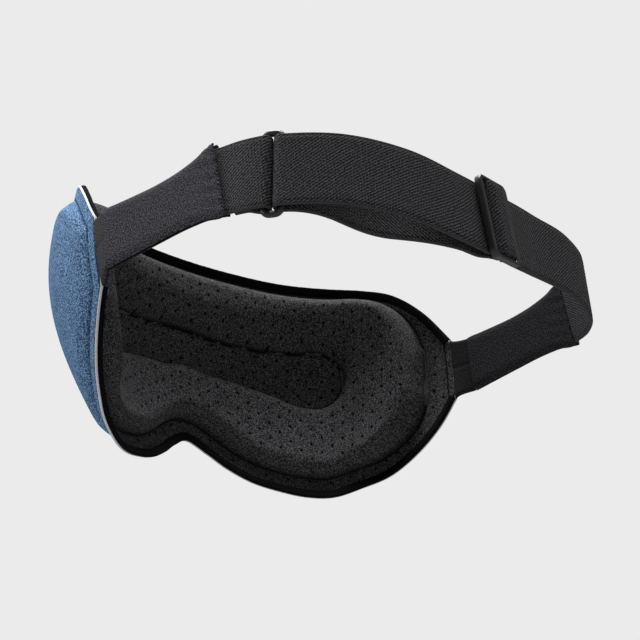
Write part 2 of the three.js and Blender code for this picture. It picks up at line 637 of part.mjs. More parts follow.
const materials = {};
function finish(slot, color, roughness, metalness = 0) {
  materials[slot] = new THREE.MeshStandardMaterial({ name: slot, color, roughness, metalness });
}
finish('blue_fabric', 0x546e8d, 0.95);
finish('grey_piping', 0xb8bcc0, 0.5);
finish('black_binding', 0x151516, 0.8);
finish('perforated_lining', 0x2e2e30, 0.95);
finish('foam', 0x3a3a3c, 1);
finish('moulded_shell', 0x2b2c2e, 0.6);
finish('wing_fabric', 0x343439, 0.95);
finish('webbing', 0x29292c, 0.9);
finish('black_plastic', 0x1b1b1c, 0.4);
finish('button_plastic', 0x26303c, 0.5);
finish('circuit_board', 0x1f4a35, 0.5);
finish('steel', 0xb4b6b8, 0.3, 1);
finish('battery_foil', 0xa8adb3, 0.4, 0.6);
finish('lead_sheath', 0x5a2424, 0.6);
finish('light_lens', 0xe6ebee, 0.3);

const eyeMask = new THREE.Group();
function part(name, slot, geometry) {
  const mesh = new THREE.Mesh(fromManifold(manifold(geometry)), materials[slot].clone());
  mesh.name = name;
  eyeMask.add(mesh);
}

// Mask
part('front_cover', 'blue_fabric', frontCover());
part('front_shell', 'moulded_shell', frontShell());
const trayLayer = layer(COVER_INSET, COARSE.slice(2, -2), trayFront, trayBack, TEMPLE_REACH);
part('back_tray', 'moulded_shell', trayLayer);
part('contour_pad', 'foam', layer(RIM_INSET, FINE.slice(3, -2), padFront, padBack, TEMPLE_REACH));
part('lining', 'perforated_lining', layer(RIM_INSET, FINE, liningFront, liningBack));
part('upper_binding', 'black_binding', alongEdge(upperEdge, BINDING));
part('lower_binding', 'black_binding', alongEdge(lowerEdge, BINDING));
part('edge_piping', 'grey_piping', alongEdge([...lowerEdge, ...upperEdge], PIPING, true));

// Power and vibration
part('control_board', 'circuit_board', box(BOARD.width, BOARD.back - BOARD.front, BOARD.high - BOARD.low, 0,
  (BOARD.front + BOARD.back) / 2, (BOARD.low + BOARD.high) / 2));
part('button_switch', 'black_plastic', box(SWITCH.side, SWITCH.height - GAP, SWITCH.side, 0,
  BOARD.front - SWITCH.height / 2 - GAP / 2, BUTTON_Z));
part('button_cap', 'button_plastic', buttonCap());
part('button_bezel', 'black_plastic', buttonBezel());
part('indicator_light', 'light_lens', turned([[0, frontY - 0.2], [0.8, frontY - 0.2], [1.2, frontY + 0.1],
  [1.2, BOARD.front - GAP], [0, BOARD.front - GAP]], 16).translate(0, 0, LIGHT_Z));
part('charge_socket', 'steel', chargeSocket());
part('socket_trim', 'black_plastic', socketTrim());
const cell = new THREE.BoxGeometry(BATTERY.length, BATTERY.height, BATTERY.thick);
part('battery_cell', 'battery_foil', onMask(cell, BATTERY.s, BATTERY.z, BATTERY.depth));
const boardSide = BOARD.width / 2 + 0.6;
part('battery_lead', 'lead_sheath', lead([[boardSide, 13, -2.4], [18.5, 13, -3], [21.5, 14, -3.6]]));
for (const [name, side] of [['left', 1], ['right', -1]]) {
  const disc = new THREE.CylinderGeometry(MOTOR.radius, MOTOR.radius, MOTOR.thick, 24).rotateX(Math.PI / 2);
  part(`${name}_motor`, 'steel', onMask(disc, side * MOTOR.s, MOTOR.z, MOTOR.depth));
  const route = [[boardSide, 31, -2.4], [24, 31.5, -2.2], [40, 31, -2], [55, 28, -2], [63, 21, -2.2],
    [MOTOR.s - MOTOR.radius - 0.8, MOTOR.z, -2.5]];
  part(`${name}_motor_lead`, 'lead_sheath', lead(route.map(([s, z, d]) => [side * s, z, d])));
}

// Wings and their hinge panels
for (const [name, side] of [['left', 1], ['right', -1]]) {
  const outside = WING_CORE / 2 + GAP + WING_FACE;
  part(`${name}_hinge_panel`, 'wing_fabric', hingePanel(side));
  part(`${name}_wing_outer_face`, 'wing_fabric', wing(side, outside, WING_FACE, 0));
  part(`${name}_wing_foam`, 'foam', wing(side, WING_CORE / 2, WING_CORE, 1));
  part(`${name}_wing_inner_face`, 'wing_fabric', wing(side, -WING_CORE / 2 - GAP, WING_FACE, 0));
}

// Strap
part('left_elastic', 'webbing', leftElastic());
part('strap_ring', 'black_plastic', strapRing());
part('doubled_webbing', 'webbing', doubledWebbing());
part('slider_weave', 'webbing', sliderWeave());
part('sewn_loop', 'webbing', sewnLoop());
part('strap_slider', 'black_plastic', strapSlider());
part('right_run', 'webbing', rightRun());

export default eyeMask;
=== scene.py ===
"""Sleep eye mask: the fabric, padding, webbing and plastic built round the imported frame.

Lengths are in millimetres until a mesh is made. The front of the mask faces -Y and the wearer's left is +X.
On the mask, s runs along its curve from the nose, z is up and d is square to it, towards the face.
"""
import math

import bmesh
import bpy
import numpy as np
from mathutils import Matrix, Vector


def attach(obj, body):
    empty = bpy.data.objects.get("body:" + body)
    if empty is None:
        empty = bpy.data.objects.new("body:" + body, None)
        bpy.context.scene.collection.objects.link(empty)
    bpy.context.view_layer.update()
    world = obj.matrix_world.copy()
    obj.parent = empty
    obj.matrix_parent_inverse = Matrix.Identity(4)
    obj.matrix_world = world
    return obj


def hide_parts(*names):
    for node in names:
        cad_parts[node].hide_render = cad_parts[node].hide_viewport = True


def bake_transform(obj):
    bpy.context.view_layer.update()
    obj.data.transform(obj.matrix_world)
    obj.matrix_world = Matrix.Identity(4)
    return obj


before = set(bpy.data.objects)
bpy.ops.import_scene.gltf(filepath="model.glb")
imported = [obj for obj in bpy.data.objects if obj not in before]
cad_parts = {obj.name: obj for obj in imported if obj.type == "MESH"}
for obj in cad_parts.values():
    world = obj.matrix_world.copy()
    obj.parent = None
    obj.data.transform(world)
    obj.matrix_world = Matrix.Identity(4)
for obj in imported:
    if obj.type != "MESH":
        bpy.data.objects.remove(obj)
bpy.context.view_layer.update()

MM = 0.001

# Shape of the mask, as in the CAD model
HALF_ARC = 118
BEND = (1.04, 0.47)
LEAN = (-4.11, 10.3, 1.1)
LEAN_SPAN = 50
TOP_EDGE = [(0, 50.8), (25, 50), (50, 47.5), (70, 45.1), (85, 42.3), (97, 37.6), (108, 27.6), (118, 12.8)]
BOTTOM_EDGE = [(0, -25.4), (8, -29.3), (16, -34.8), (26, -39.9), (38, -43.3), (50, -45.8), (62, -46.2),
               (75, -42.9), (88, -39.1), (100, -31.6), (110, -22.7), (118, -12.8)]
DOME = [(0, 12.5), (40, 12), (60, 10.2), (70, 8.6), (80, 6.6), (95, 4.2), (108, 2.8), (118, 2)]
RECESS_TOP = [(0, 22.4), (20, 20.6), (40, 19.2), (60, 18.2)]
RECESS_BOTTOM = [(0, 6.8), (10, 4.9), (20, 4.1), (30, 2.3), (40, -0.5), (50, -4.6), (60, -6.5)]
RECESS_END = (58.5, 6.4)
RECESS_RADIUS = 12.6
RIM_FRONT = 0.9
RIM_BACK = 1.0
PAD_END = 106.5  # the pad stops here, along the mask, with this much rounding
END_ROUNDING = 12
LAYER = 0.8  # thickness of the cover, of the lining and of the wings' faces
# Where a change over a distance is given, it is (from, distance)
SIDES = (25, 30)  # along the mask, from the nose to its sides
SEAM_INSET = (4.3, 5.6)  # of the cover's sewn line from the outline, by the nose and at the sides
FLANGE = (4, 5.5)  # width round the dome, by the nose and at the sides
LOW_DOME = (3.4, -44, 70)  # height of the dome's foot, and its change to full height
FOOT = (5.4, 9.3)  # inset of the pad's foot, at the top and at the bottom
FOOT_SIDE = (104, 20)  # the bottom comes 1 mm nearer to the outline about here, over this width
FOOT_BLEND = (18, 36)
PAD_HEIGHT = 8.6
BROW = (3.4, 31, 9)  # rise of the brow roll, its z and its width
TEMPLE = (5.4, 62, 32)  # rise of the temples, and its change
PAD_RISE = (6.5, 10, 76, 26)  # width of the pad's round side, at the front and at the temples
RECESS_WALL = (6, 8.5, 8, 8)  # width of the recess's wall, low and high
RECESS_FLOOR = 2.2
WING_START = np.array((86, 73.8))
WING_END = np.array((81.5, 126))
END_SKEW = 0.1
WING_TOP = [(0, 10.8), (0.15, 9.9), (0.45, 8.2), (0.62, 7.9), (0.74, 8.2), (0.84, 8.9), (0.92, 10.1), (1, 11)]
WING_BOTTOM = [(0, -11.2), (0.2, -11.5), (0.45, -12), (0.62, -12.4), (0.74, -13), (0.84, -13.8), (0.92, -15.2),
               (1, -16.2)]
STRAP = [(81.5, 126, -3.1), (79, 136, -4.6), (73.9, 145, -5.7), (60, 158, -7.5), (42, 166.4, -10.5),
         (22.4, 169.5, -13.9), (3, 166.6, -12.7), (-15.7, 160.1, -8), (-34.4, 154, -3.6), (-54, 150.4, -2.6),
         (-71.4, 143.5, -3.4), (-77.8, 136, -3.6), (-81.5, 126, -3.1)]
WEB_WIDTH = 25
WEB_THICK = 1.3
GAP = 0.3
RING_AT = 18
RING_PITCH = 2.85
BAR_RADIUS = 1.1
SLIDER_AT = 98.5
SLIDER_ENDS = (-8.2, 9.5)
SLOT_ENDS = (-6.4, 6.3)
SLOT_HALF = 12.9
RAIL = 1.3
SLIDER_THICK = 2.4
MIDDLE_RADIUS = 0.8
MIDDLE_DROP = 1.2
BUTTON_Z = 22
BUTTON_RADIUS = 6.5
BEZEL_RADIUS = 8.2
LIGHT_Z = 34.2
LIGHT_RADIUS = 1.2
PORT_Z = 44.8
PORT_HALF = (2.8, 1.7)  # half the straight part of the charging port, and the radius of its ends
PORT_TRIM = 1.9  # the hole in the cover is this much larger, for the trim
PORT_TILT = math.radians(25)
PORT_DEPTH = 7

# Surface detail
STEP = 0.45  # spacing of the fine grids over the mask
OUTLINE_STEP = 0.8
HOLE_CELL = (9.4, 7.0)  # the perforations of the lining lie at the corners and middles of such rectangles
HOLE_TURN = math.radians(7)
HOLE_RADIUS = 0.58
HOLE_DEPTH = 0.6
GROOVE = 0.7
PIERCE_MARGIN, PIERCE_EDGE = 0.3, 0.5  # round a moulding in the cover
CORNER_STEPS = 8


def lerp(a, b, t):
    return a + (b - a) * t


def ease(x):
    x = np.clip(x, 0, 1)
    return x * x * (3 - 2 * x)


def swell(x):
    return np.sqrt(1 - (1 - np.clip(x, 0, 1)) ** 2)


def circle(count):
    return np.linspace(0, 2 * math.pi, count + 1)[:-1]


def bump(x, width):
    return np.exp(-((x / width) ** 2))


def through(points):
    """A smooth function through (x, y) points, level at its first point."""
    xs, ys = np.array(points, float).T
    last = len(xs) - 1
    after = np.minimum(np.arange(last + 1) + 1, last)
    before = np.maximum(np.arange(last + 1) - 1, 0)
    slopes = (ys[after] - ys[before]) / (xs[after] - xs[before])
    slopes[0] = 0

    def at(x):
        i = np.clip(np.searchsorted(xs, x), 1, last)
        width = xs[i] - xs[i - 1]
        t = np.clip((x - xs[i - 1]) / width, 0, 1)
        bend = t * (1 - t) * width
        return lerp(ys[i - 1], ys[i], ease(t)) + bend * ((1 - t) * slopes[i - 1] - t * slopes[i])

    return at


top_edge, bottom_edge, dome_height = through(TOP_EDGE), through(BOTTOM_EDGE), through(DOME)
recess_top, recess_bottom = through(RECESS_TOP), through(RECESS_BOTTOM)
wing_top, wing_bottom = through(WING_TOP), through(WING_BOTTOM)


def turn_at(s):
    return BEND[0] * (s / HALF_ARC) + BEND[1] * (s / HALF_ARC) ** 2


PLAN_STEP = 0.5
plan_s = np.arange(0, HALF_ARC + 6, PLAN_STEP)
plan_turn = turn_at(plan_s[:-1] + PLAN_STEP / 2)
plan_x = np.concatenate([[0], np.cumsum(np.cos(plan_turn)) * PLAN_STEP])
plan_y = np.concatenate([[0], np.cumsum(np.sin(plan_turn)) * PLAN_STEP])


def lean_at(along, z):
    """How far the mask leans towards the face, away from its middle."""
    h = z / LEAN_SPAN
    return LEAN[0] * h + LEAN[1] * h * h + LEAN[2] * (along / HALF_ARC) ** 2 * h


def mask_point(s, z, d):
    """Points of the mask, as an array whose last axis is x, y, z."""
    s, z, d = np.broadcast_arrays(np.asarray(s, float), z, d)
    along = np.abs(s)
    turn = turn_at(along)
    lean = lean_at(along, z) + d
    x = np.interp(along, plan_s, plan_x) - np.sin(turn) * lean
    y = np.interp(along, plan_s, plan_y) + np.cos(turn) * lean
    return np.stack([np.where(s < 0, -x, x), y, z], axis=-1)


# The outline as points 1 mm apart, for how far inside it a place is
rim_s = np.arange(0, HALF_ARC + 0.1, 1.0)
end_z = np.arange(bottom_edge(HALF_ARC), top_edge(HALF_ARC), 1.0)
rim = np.concatenate([
    np.stack([rim_s, top_edge(rim_s)], axis=1),
    np.stack([rim_s, bottom_edge(rim_s)], axis=1),
    np.stack([np.full_like(end_z, HALF_ARC), end_z], axis=1),
])


def inset_at(s, z):
    """How far inside the outline each place of a grid is, worked out row by row to save memory."""
    return np.array([np.hypot(rim[:, 0] - along[:, None], rim[:, 1] - height[:, None]).min(axis=1)
                     for along, height in zip(np.abs(s), z)])


def side_at(along):
    """0 by the nose and 1 at the sides of the mask."""
    return ease((along - SIDES[0]) / SIDES[1])


def recess_at(s, z):
    """How far inside the eye recess a place is: below 0 it is outside."""
    along = np.abs(s)
    round_end = RECESS_RADIUS - np.hypot(along - RECESS_END[0], z - RECESS_END[1])
    band = np.minimum(recess_top(along) - z, z - recess_bottom(along))
    return np.where(along < RECESS_END[0], np.maximum(band, round_end), round_end)


def flange_seam(along, inset):
    """1 on the sewn line round the front cover, 0 away from it."""
    return bump(inset - lerp(*SEAM_INSET, side_at(along)), 0.5)


def dome_at(s, z, inset):
    """Front of the cover: round by the nose, with a slanted wall behind a sewn flange at the sides."""
    along = np.abs(s)
    height = dome_height(along)
    low, foot, growth = LOW_DOME
    full = lerp(np.minimum(low, height), height, ease((z - foot) / growth))
    slant = np.clip((inset - FLANGE[1]) / np.maximum(4, 0.95 * (full - RIM_FRONT)), 0, 1)
    rise = lerp(swell((inset - FLANGE[0]) / 6), 1 - (1 - slant) ** 1.3, side_at(along))
    return lerp(RIM_FRONT, full, rise) - GROOVE * flange_seam(along, inset)


def hole_at(s, z):
    """1 in the middle of a perforation of the lining, 0 away from it."""
    x = (s * math.cos(HOLE_TURN) + z * math.sin(HOLE_TURN)) / HOLE_CELL[0]
    y = (z * math.cos(HOLE_TURN) - s * math.sin(HOLE_TURN)) / HOLE_CELL[1]
    p = x + y - np.floor(x + y) - 0.5
    q = x - y - np.floor(x - y) - 0.5
    r = np.hypot((p + q) / 2 * HOLE_CELL[0], (p - q) / 2 * HOLE_CELL[1])
    return np.exp(-((r / HOLE_RADIUS) ** 4))


def within_foot(s, z, inset):
    """How far inside the foot of the pad a place is, with a round end before each temple."""
    along = np.abs(s)
    bottom = FOOT[1] - bump(along - FOOT_SIDE[0], FOOT_SIDE[1])
    from_edge = inset - lerp(FOOT[0], bottom, ease((FOOT_BLEND[0] - z) / FOOT_BLEND[1]))
    from_end = PAD_END - along
    blend = np.maximum(END_ROUNDING - np.abs(from_edge - from_end), 0)
    return np.minimum(from_edge, from_end) - blend**2 / (4 * END_ROUNDING)


def pad_seams(s, z, inset):
    """1 on the sewn lines round the recess and the foot of the pad, 0 away from them."""
    within = within_foot(s, z, inset)
    return np.maximum(bump(recess_at(s, z) - 0.2, 0.45) * (within > 2.5), 0.8 * bump(within + 0.2, 0.4))


def pad_at(s, z, inset):
    """Back face of the lining: a brow roll, an eye recess across the nose, a cheek pad and high temples."""
    along = np.abs(s)
    brow, brow_z, brow_width = BROW
    temple, temple_from, temple_span = TEMPLE
    height = PAD_HEIGHT + brow * bump(z - brow_z, brow_width)
    height = height + temple * ease((along - temple_from) / temple_span)
    side, end, end_from, end_span = PAD_RISE
    foot = swell(within_foot(s, z, inset) / lerp(side, end, ease((along - end_from) / end_span)))
    below, above, wall_z, wall_span = RECESS_WALL
    wall = swell(-recess_at(s, z) / lerp(below, above, ease((z - wall_z) / wall_span)))
    return RIM_BACK + foot * lerp(RECESS_FLOOR, height - RIM_BACK, wall) - GROOVE * pad_seams(s, z, inset)


# Meshes
def add_object(name, data):
    added = bpy.data.objects.new(name, data)
    bpy.context.scene.collection.objects.link(added)
    return added


def mesh_object(name, points, faces, uv=None):
    points = np.asarray(points, float) * MM
    quads = np.asarray(faces)
    a, b, c = points[quads[:, 0]], points[quads[:, 1]], points[quads[:, 2]]
    d = points[quads[:, 3]]
    volume = np.einsum("ij,ij->", a, np.cross(b, c)) + np.einsum("ij,ij->", a, np.cross(c, d))
    if volume < 0:
        quads = quads[:, ::-1]
    mesh = bpy.data.meshes.new(name)
    mesh.from_pydata(points.tolist(), [], [tuple(dict.fromkeys(q)) for q in quads.tolist()])
    if uv is not None:
        corner = np.empty(len(mesh.loops), int)
        mesh.loops.foreach_get("vertex_index", corner)
        layer = mesh.uv_layers.new(name="place")
        layer.data.foreach_set("uv", (np.asarray(uv, float)[corner] * MM).ravel())
    mesh.polygons.foreach_set("use_smooth", [True] * len(mesh.polygons))
    mesh.update()
    return add_object(name, mesh)


def grid_faces(index, wrap_rows=False, wrap_columns=False):
    """Quads between neighbours of a 2-D array of vertex numbers."""
    if wrap_rows:
        index = np.concatenate([index, index[:1]])
    if wrap_columns:
        index = np.concatenate([index, index[:, :1]], axis=1)
    corners = [index[:-1, :-1], index[1:, :-1], index[1:, 1:], index[:-1, 1:]]
    return np.stack([c.ravel() for c in corners], axis=1)


def shell(name, front, back, uv):
    """A closed sheet between two grids of points."""
    rows, columns = front.shape[:2]
    near = np.arange(rows * columns).reshape(rows, columns)
    far = near + rows * columns
    border = np.concatenate([near[0], near[1:, -1], near[-1, -2::-1], near[-2:0:-1, 0]])
    walls = grid_faces(np.stack([border, border + rows * columns]), wrap_columns=True)[:, ::-1]
    faces = np.concatenate([grid_faces(near), grid_faces(far)[:, ::-1], walls])
    points = np.concatenate([front.reshape(-1, 3), back.reshape(-1, 3)])
    flat = np.asarray(uv).reshape(-1, 2)
    return mesh_object(name, points, faces, np.concatenate([flat, flat]))


def tube(name, rings, uv=None, closed=False):
    """Rings of points joined into a tube, with caps or joined to its own start."""
    rings = np.asarray(rings, float)
    rows, columns = rings.shape[:2]
    index = np.arange(rows * columns).reshape(rows, columns)
    faces = grid_faces(index, wrap_rows=closed, wrap_columns=True)
    points = rings.reshape(-1, 3)
    coords = None if uv is None else np.asarray(uv).reshape(-1, 2)
    if not closed:
        half = columns // 2
        caps = []
        for row, flip in ((index[0], 1), (index[-1], -1)):
            for k in range(half):
                across = row[(columns - k - 1) % columns], row[(columns - k) % columns]
                caps.append([row[k], row[k + 1], *across][::flip])
        faces = np.concatenate([faces, np.array(caps)])
    piece = mesh_object(name, points, faces, coords)
    piece.data.set_sharp_from_angle(angle=math.radians(60))
    return piece


def normalised(vectors):
    return vectors / np.linalg.norm(vectors, axis=-1, keepdims=True)


def distances(points):
    """How far along a line each of its points is."""
    return np.concatenate([[0], np.cumsum(np.linalg.norm(np.diff(points, axis=0), axis=1))])


def strip(name, centre, out, up, low, high, thick, across=40, lift=None, relief=None, start=0.0, way=1):
    """A strip of fabric with rounded edges, along a line of centres. up points across it, from low to high.
    lift moves both faces and relief only raises them, as functions of the place along and across, in mm.
    way is -1 where the fabric's own direction runs against the line."""
    low, high = (np.broadcast_to(value, len(centre))[:, None] for value in (low, high))
    quarter = np.linspace(0, math.pi / 2, 5)
    curl, half = thick / 2 * (1 - np.cos(quarter)), thick / 2 * np.sin(quarter)
    middle = np.linspace(0, 1, across + 2)[1:-1]
    inner = lerp(low + thick / 2, high - thick / 2, middle)
    height = np.concatenate([low + curl, inner, high - curl[::-1]], axis=1)
    depth = np.concatenate([half, np.full(across, thick / 2), half[::-1]])
    along = np.broadcast_to(way * (start + distances(centre))[:, None], height.shape)
    flatness = (depth / (thick / 2)) ** 2
    shift = 0 if lift is None else lift(along, height, low, high)
    raised = depth + (0 if relief is None else relief(along, height, low, high) * flatness)
    moved = np.asarray(shift + 0 * height)[..., None]
    base = centre[:, None] + up[:, None] * height[..., None] + out[:, None] * moved
    offset = out[:, None] * (raised + 0 * height)[..., None]
    front, back = base + offset, base - offset
    rings = np.concatenate([front, back[:, -2:0:-1]], axis=1)
    flat = np.stack([along, height], axis=-1)
    return tube(name, rings, np.concatenate([flat, flat[:, -2:0:-1]], axis=1))


def mark(piece, copies=2, **amounts):
    """Gives a piece an attribute for each named array of amounts, repeated, as for a sheet's two faces."""
    for name, amount in amounts.items():
        layer = piece.data.attributes.new(name, "FLOAT", "POINT")
        layer.data.foreach_set("value", np.tile(amount.ravel(), copies))
    return piece


# Mask
def mask_grid(inset, end_inset=None):
    """s and z of a fine grid that stops this far inside the outline."""
    reach = HALF_ARC - (inset if end_inset is None else end_inset)
    s = np.linspace(-reach, reach, int(2 * reach / STEP) + 1)
    along = np.abs(s)
    edges = []
    for edge_at, sign in ((bottom_edge, 1), (top_edge, -1)):
        slope = (edge_at(along + 1) - edge_at(np.maximum(along - 1, 0))) / 2
        edges.append(edge_at(along) + sign * inset * np.hypot(1, slope))
    rows = np.linspace(0, 1, int(90 / STEP) + 1)
    z = lerp(edges[0][:, None], edges[1][:, None], rows)
    return np.broadcast_to(s[:, None], z.shape), z


def opened_for_port(points):
    """Pushes the cover in where the charging port and its trim come through."""
    depth = dome_at(np.zeros(1), np.array([PORT_Z]), np.array([top_edge(0) - PORT_Z]))
    away = points - mask_point(0, PORT_Z, -depth[0])
    along = away[..., 1] * math.cos(PORT_TILT) + away[..., 2] * math.sin(PORT_TILT)
    radius = np.hypot(np.maximum(np.abs(away[..., 0]) - PORT_HALF[0], 0), along)
    push = PORT_DEPTH * ease((PORT_HALF[1] + PORT_TRIM + PIERCE_MARGIN - radius) / PIERCE_EDGE)
    return points - push[..., None] * np.array((0, -math.sin(PORT_TILT), math.cos(PORT_TILT)))


def front_cover():
    s, z = mask_grid(1.3)
    inset = inset_at(s, z)
    dome = dome_at(s, z, inset)
    for radius, height, depth in ((BEZEL_RADIUS, BUTTON_Z, 3), (LIGHT_RADIUS, LIGHT_Z, 2)):
        dome = dome - depth * ease((radius + PIERCE_MARGIN - np.hypot(s, z - height)) / PIERCE_EDGE)
    outer, inner = (opened_for_port(mask_point(s, z, d)) for d in (-dome, LAYER - dome))
    piece = shell("cover_fabric", outer, inner, np.stack([s, z], -1))
    # The seam attribute here is painted shade along the groove of the flange's sewn line.
    return mark(piece, seam=0.6 * flange_seam(np.abs(s), inset))


def face_lining():
    s, z = mask_grid(1.9, 0.15)
    inset = inset_at(s, z)
    pad = pad_at(s, z, inset)
    within = within_foot(s, z, inset)
    pierced = np.where(within < -0.8, ease((inset - 4) / 1.5), ease((within - 4) / 2))
    back = mask_point(s, z, pad - HOLE_DEPTH * hole_at(s, z) * pierced)
    piece = shell("face_lining", back, mask_point(s, z, pad - LAYER), np.stack([s, z], -1))
    # Painted shade for the seam attribute: in the grooves of the sewn lines round the recess and the pad's
    # foot, and under the binding tape's inner edge.
    shade_under_tape = bump(inset - 3.1, 0.4)
    return mark(piece, seam=np.maximum(pad_seams(s, z, inset), shade_under_tape), pierced=pierced)


def contour_foam():
    s, z = mask_grid(12.2)
    s, z = s[::4, ::4], z[::4, ::4]
    pad = pad_at(s, z, inset_at(s, z)) - LAYER - GAP
    foam_back = mask_point(s, z, np.maximum(pad, 0.6))
    return shell("contour_foam", foam_back, mask_point(s, z, 0.2), np.stack([s, z], -1))


def outline(edge_at=None):
    """Points (s, z) along the top or bottom edge from the right temple to the left, or all the way round."""
    s = np.linspace(-HALF_ARC, HALF_ARC, int(2 * HALF_ARC / OUTLINE_STEP))
    if edge_at is not None:
        return np.stack([s, edge_at(np.abs(s))], axis=1)
    return np.concatenate([outline(bottom_edge), outline(top_edge)[::-1]])


def along_edge(name, line, section, closed=False, ripple=0.0):
    """A section of (out, d) points swept along the outline, out pointing away from the mask."""
    after = np.roll(line, -1, axis=0)
    before = np.roll(line, 1, axis=0)
    if not closed:
        after[-1], before[0] = line[-1], line[0]
    run = normalised(after - before)
    out, d = np.array(section, float).T
    along = distances(line)
    wave = ripple * (np.sin(along * 1.9) + np.sin(along * 0.83 + 1) + np.sin(along * 3.1 + 2))
    s = line[:, :1] + run[:, 1:] * out
    z = line[:, 1:] - run[:, :1] * out
    rings = mask_point(s, z, d + wave[:, None] * (d > 1))
    around = distances(np.array(section, float))
    uv = np.stack(np.broadcast_arrays(along[:, None], around[None]), axis=-1)
    return tube(name, rings, uv, closed)


BINDING = [(-0.6, 0.28), (-0.3, 0.2), (-0.04, 0.32), (0.03, 0.7), (0.03, 1.1), (-0.06, 1.45), (-0.3, 1.68),
           (-0.75, 1.78), (-1.5, 1.8), (-2.4, 1.76), (-2.88, 1.66), (-3.02, 1.45), (-2.92, 1.28), (-2.6, 1.2),
           (-0.85, 1.18), (-0.62, 1.02)]


def bindings():
    pieces = []
    for name, edge_at, way in (("upper", top_edge, -1), ("lower", bottom_edge, 1)):
        piece = along_edge(f"{name}_binding_tape", outline(edge_at)[::way], BINDING, ripple=0.03)
        pieces.append((piece, f"{name}_binding"))
    return pieces


def piping():
    turn = circle(14)
    section = np.stack([-0.65 - 0.43 * np.cos(turn), -0.45 + 0.43 * np.sin(turn)], axis=1)
    return along_edge("piping_cord", outline(), section, closed=True)


# Wings
def wing_frame(side, start, finish, count, skew):
    run = normalised(finish - start)
    t = np.linspace(0, 1, count)
    spot = lerp(start, finish, t[:, None])
    centre = np.stack([side * spot[:, 0], spot[:, 1], 0 * t], axis=1)
    out = np.tile((side * run[1], -run[0], 0), (count, 1))
    up = np.stack([-side * skew * t * run[0], -skew * t, np.ones(count)], axis=1)
    return t, centre, out, up


def to_edge(height, low, high):
    return np.minimum(height - low, high - height)


WING_LENGTH = np.linalg.norm(WING_END - WING_START)


def wing_sheets(side, word):
    start = lerp(WING_START, WING_END, 0.2 / WING_LENGTH)
    t, centre, out, up = wing_frame(side, start, WING_END, 110, END_SKEW)
    pieces = []
    for face, way, tone in (("outer", 1, "wing_outer"), ("inner", -1, "wing_inner")):
        def lift(along, height, low, high):
            closing = swell(to_edge(height, low, high) / 3.2) * swell(0.25 + along / 4)
            over_elastic = 1 - swell((WING_LENGTH - along) / 1.8)
            seam = 0.3 * bump(along - WING_LENGTH + 2.6, 0.5)
            pucker = 0.1 * np.sin(height * 1.3 + along * 0.4) * bump(along - WING_LENGTH, 9)
            over = 0.6 if way > 0 else 1.75
            return way * (lerp(lerp(0.41, 1.42, closing), over, over_elastic) - seam + pucker)

        name = f"{word}_wing_{face}_fabric"
        piece = strip(name, centre, out, up, wing_bottom(t), wing_top(t), LAYER, lift=lift)
        pieces.append((piece, f"{word}_wing_{face}_face", tone))
    inside = slice(4, -6)

    def thin(along, height, low, high):
        return -0.5 * (1 - swell(to_edge(height, low, high) / 3))
    foam = strip(f"{word}_wing_padding", centre[inside], out[inside], up[inside], wing_bottom(t[inside]) + 1,
                 wing_top(t[inside]) - 1, 1.4, relief=thin)
    pieces.append((foam, f"{word}_wing_foam", "foam"))
    return pieces


def hinge_panel(side, word):
    x, y, _ = mask_point(HALF_ARC - 0.4, 0, 0)
    t, centre, out, up = wing_frame(side, np.array((x, y)), WING_START, 24, 0)
    length = distances(centre)[-1]

    def pinch(along, height, low, high):
        ends = swell(np.minimum(along, length - along) / 2.2 + 0.12)
        return -0.75 * (1 - ends) - 0.22 * bump(height, 0.6)

    def follow(along, height, low, high):
        return -lean_at(HALF_ARC, height) * ease(1 - along / length)

    panel = strip(f"{word}_hinge_fabric", centre, out, up, -12.8 + 1.6 * swell(t), 12.8 - 2 * swell(t), 2.4,
                  lift=follow, relief=pinch)
    # The whole inner face is marked in the seam attribute, to be darkened as painted shade.
    around = len(panel.data.vertices) // len(t)
    shaded_inner_face = (np.arange(around) >= around // 2) * 1.0
    return mark(panel, copies=len(t), seam=shaded_inner_face)


# Strap
def catmull_rom(points, count):
    """A centripetal Catmull-Rom curve through the points, as many small steps."""
    points = np.array(points, float)
    points = np.concatenate([[2 * points[0] - points[1]], points, [2 * points[-1] - points[-2]]])
    parts = []
    for p0, p1, p2, p3 in zip(points, points[1:], points[2:], points[3:]):
        a, b, c = (max(np.linalg.norm(q - p) ** 0.5, 1e-4) for p, q in ((p0, p1), (p1, p2), (p2, p3)))
        m1 = ((p1 - p0) / a - (p2 - p0) / (a + b) + (p2 - p1) / b) * b
        m2 = ((p2 - p1) / b - (p3 - p1) / (b + c) + (p3 - p2) / c) * b
        t = np.linspace(0, 1, count, endpoint=False)[:, None]
        cubic = 2 * t**3 - 3 * t**2
        parts.append(p1 * (cubic + 1) + m1 * (t**3 - 2 * t**2 + t) - p2 * cubic + m2 * (t**3 - t**2))
    return np.concatenate(parts + [points[-2:-1]])


strap_points = catmull_rom(STRAP, 200)
strap_along = distances(strap_points)
STRAP_LENGTH = strap_along[-1]
strap_runs = normalised(np.gradient(strap_points, strap_along, axis=0))


def strap_frame(along):
    """Point, run, out and width direction of the strap at distances from the left wing."""
    inside = np.clip(along, 0, STRAP_LENGTH)
    run = np.stack([np.interp(inside, strap_along, strap_runs[:, k]) for k in range(3)], axis=-1)
    run = normalised(run)
    point = np.stack([np.interp(inside, strap_along, strap_points[:, k]) for k in range(3)], axis=-1)
    point = point + run * (along - inside)[:, None]
    out = normalised(np.stack([run[:, 1], -run[:, 0], 0 * along], axis=-1))
    up = np.cross(out, run)
    from_end = np.minimum(inside, STRAP_LENGTH - inside)
    width = lerp(np.array((0, -END_SKEW, 1)), up, ease(from_end / RING_AT)[:, None])
    return point, run, out, normalised(width)


def frame_at(along):
    return [value[0] for value in strap_frame(np.array([float(along)]))]


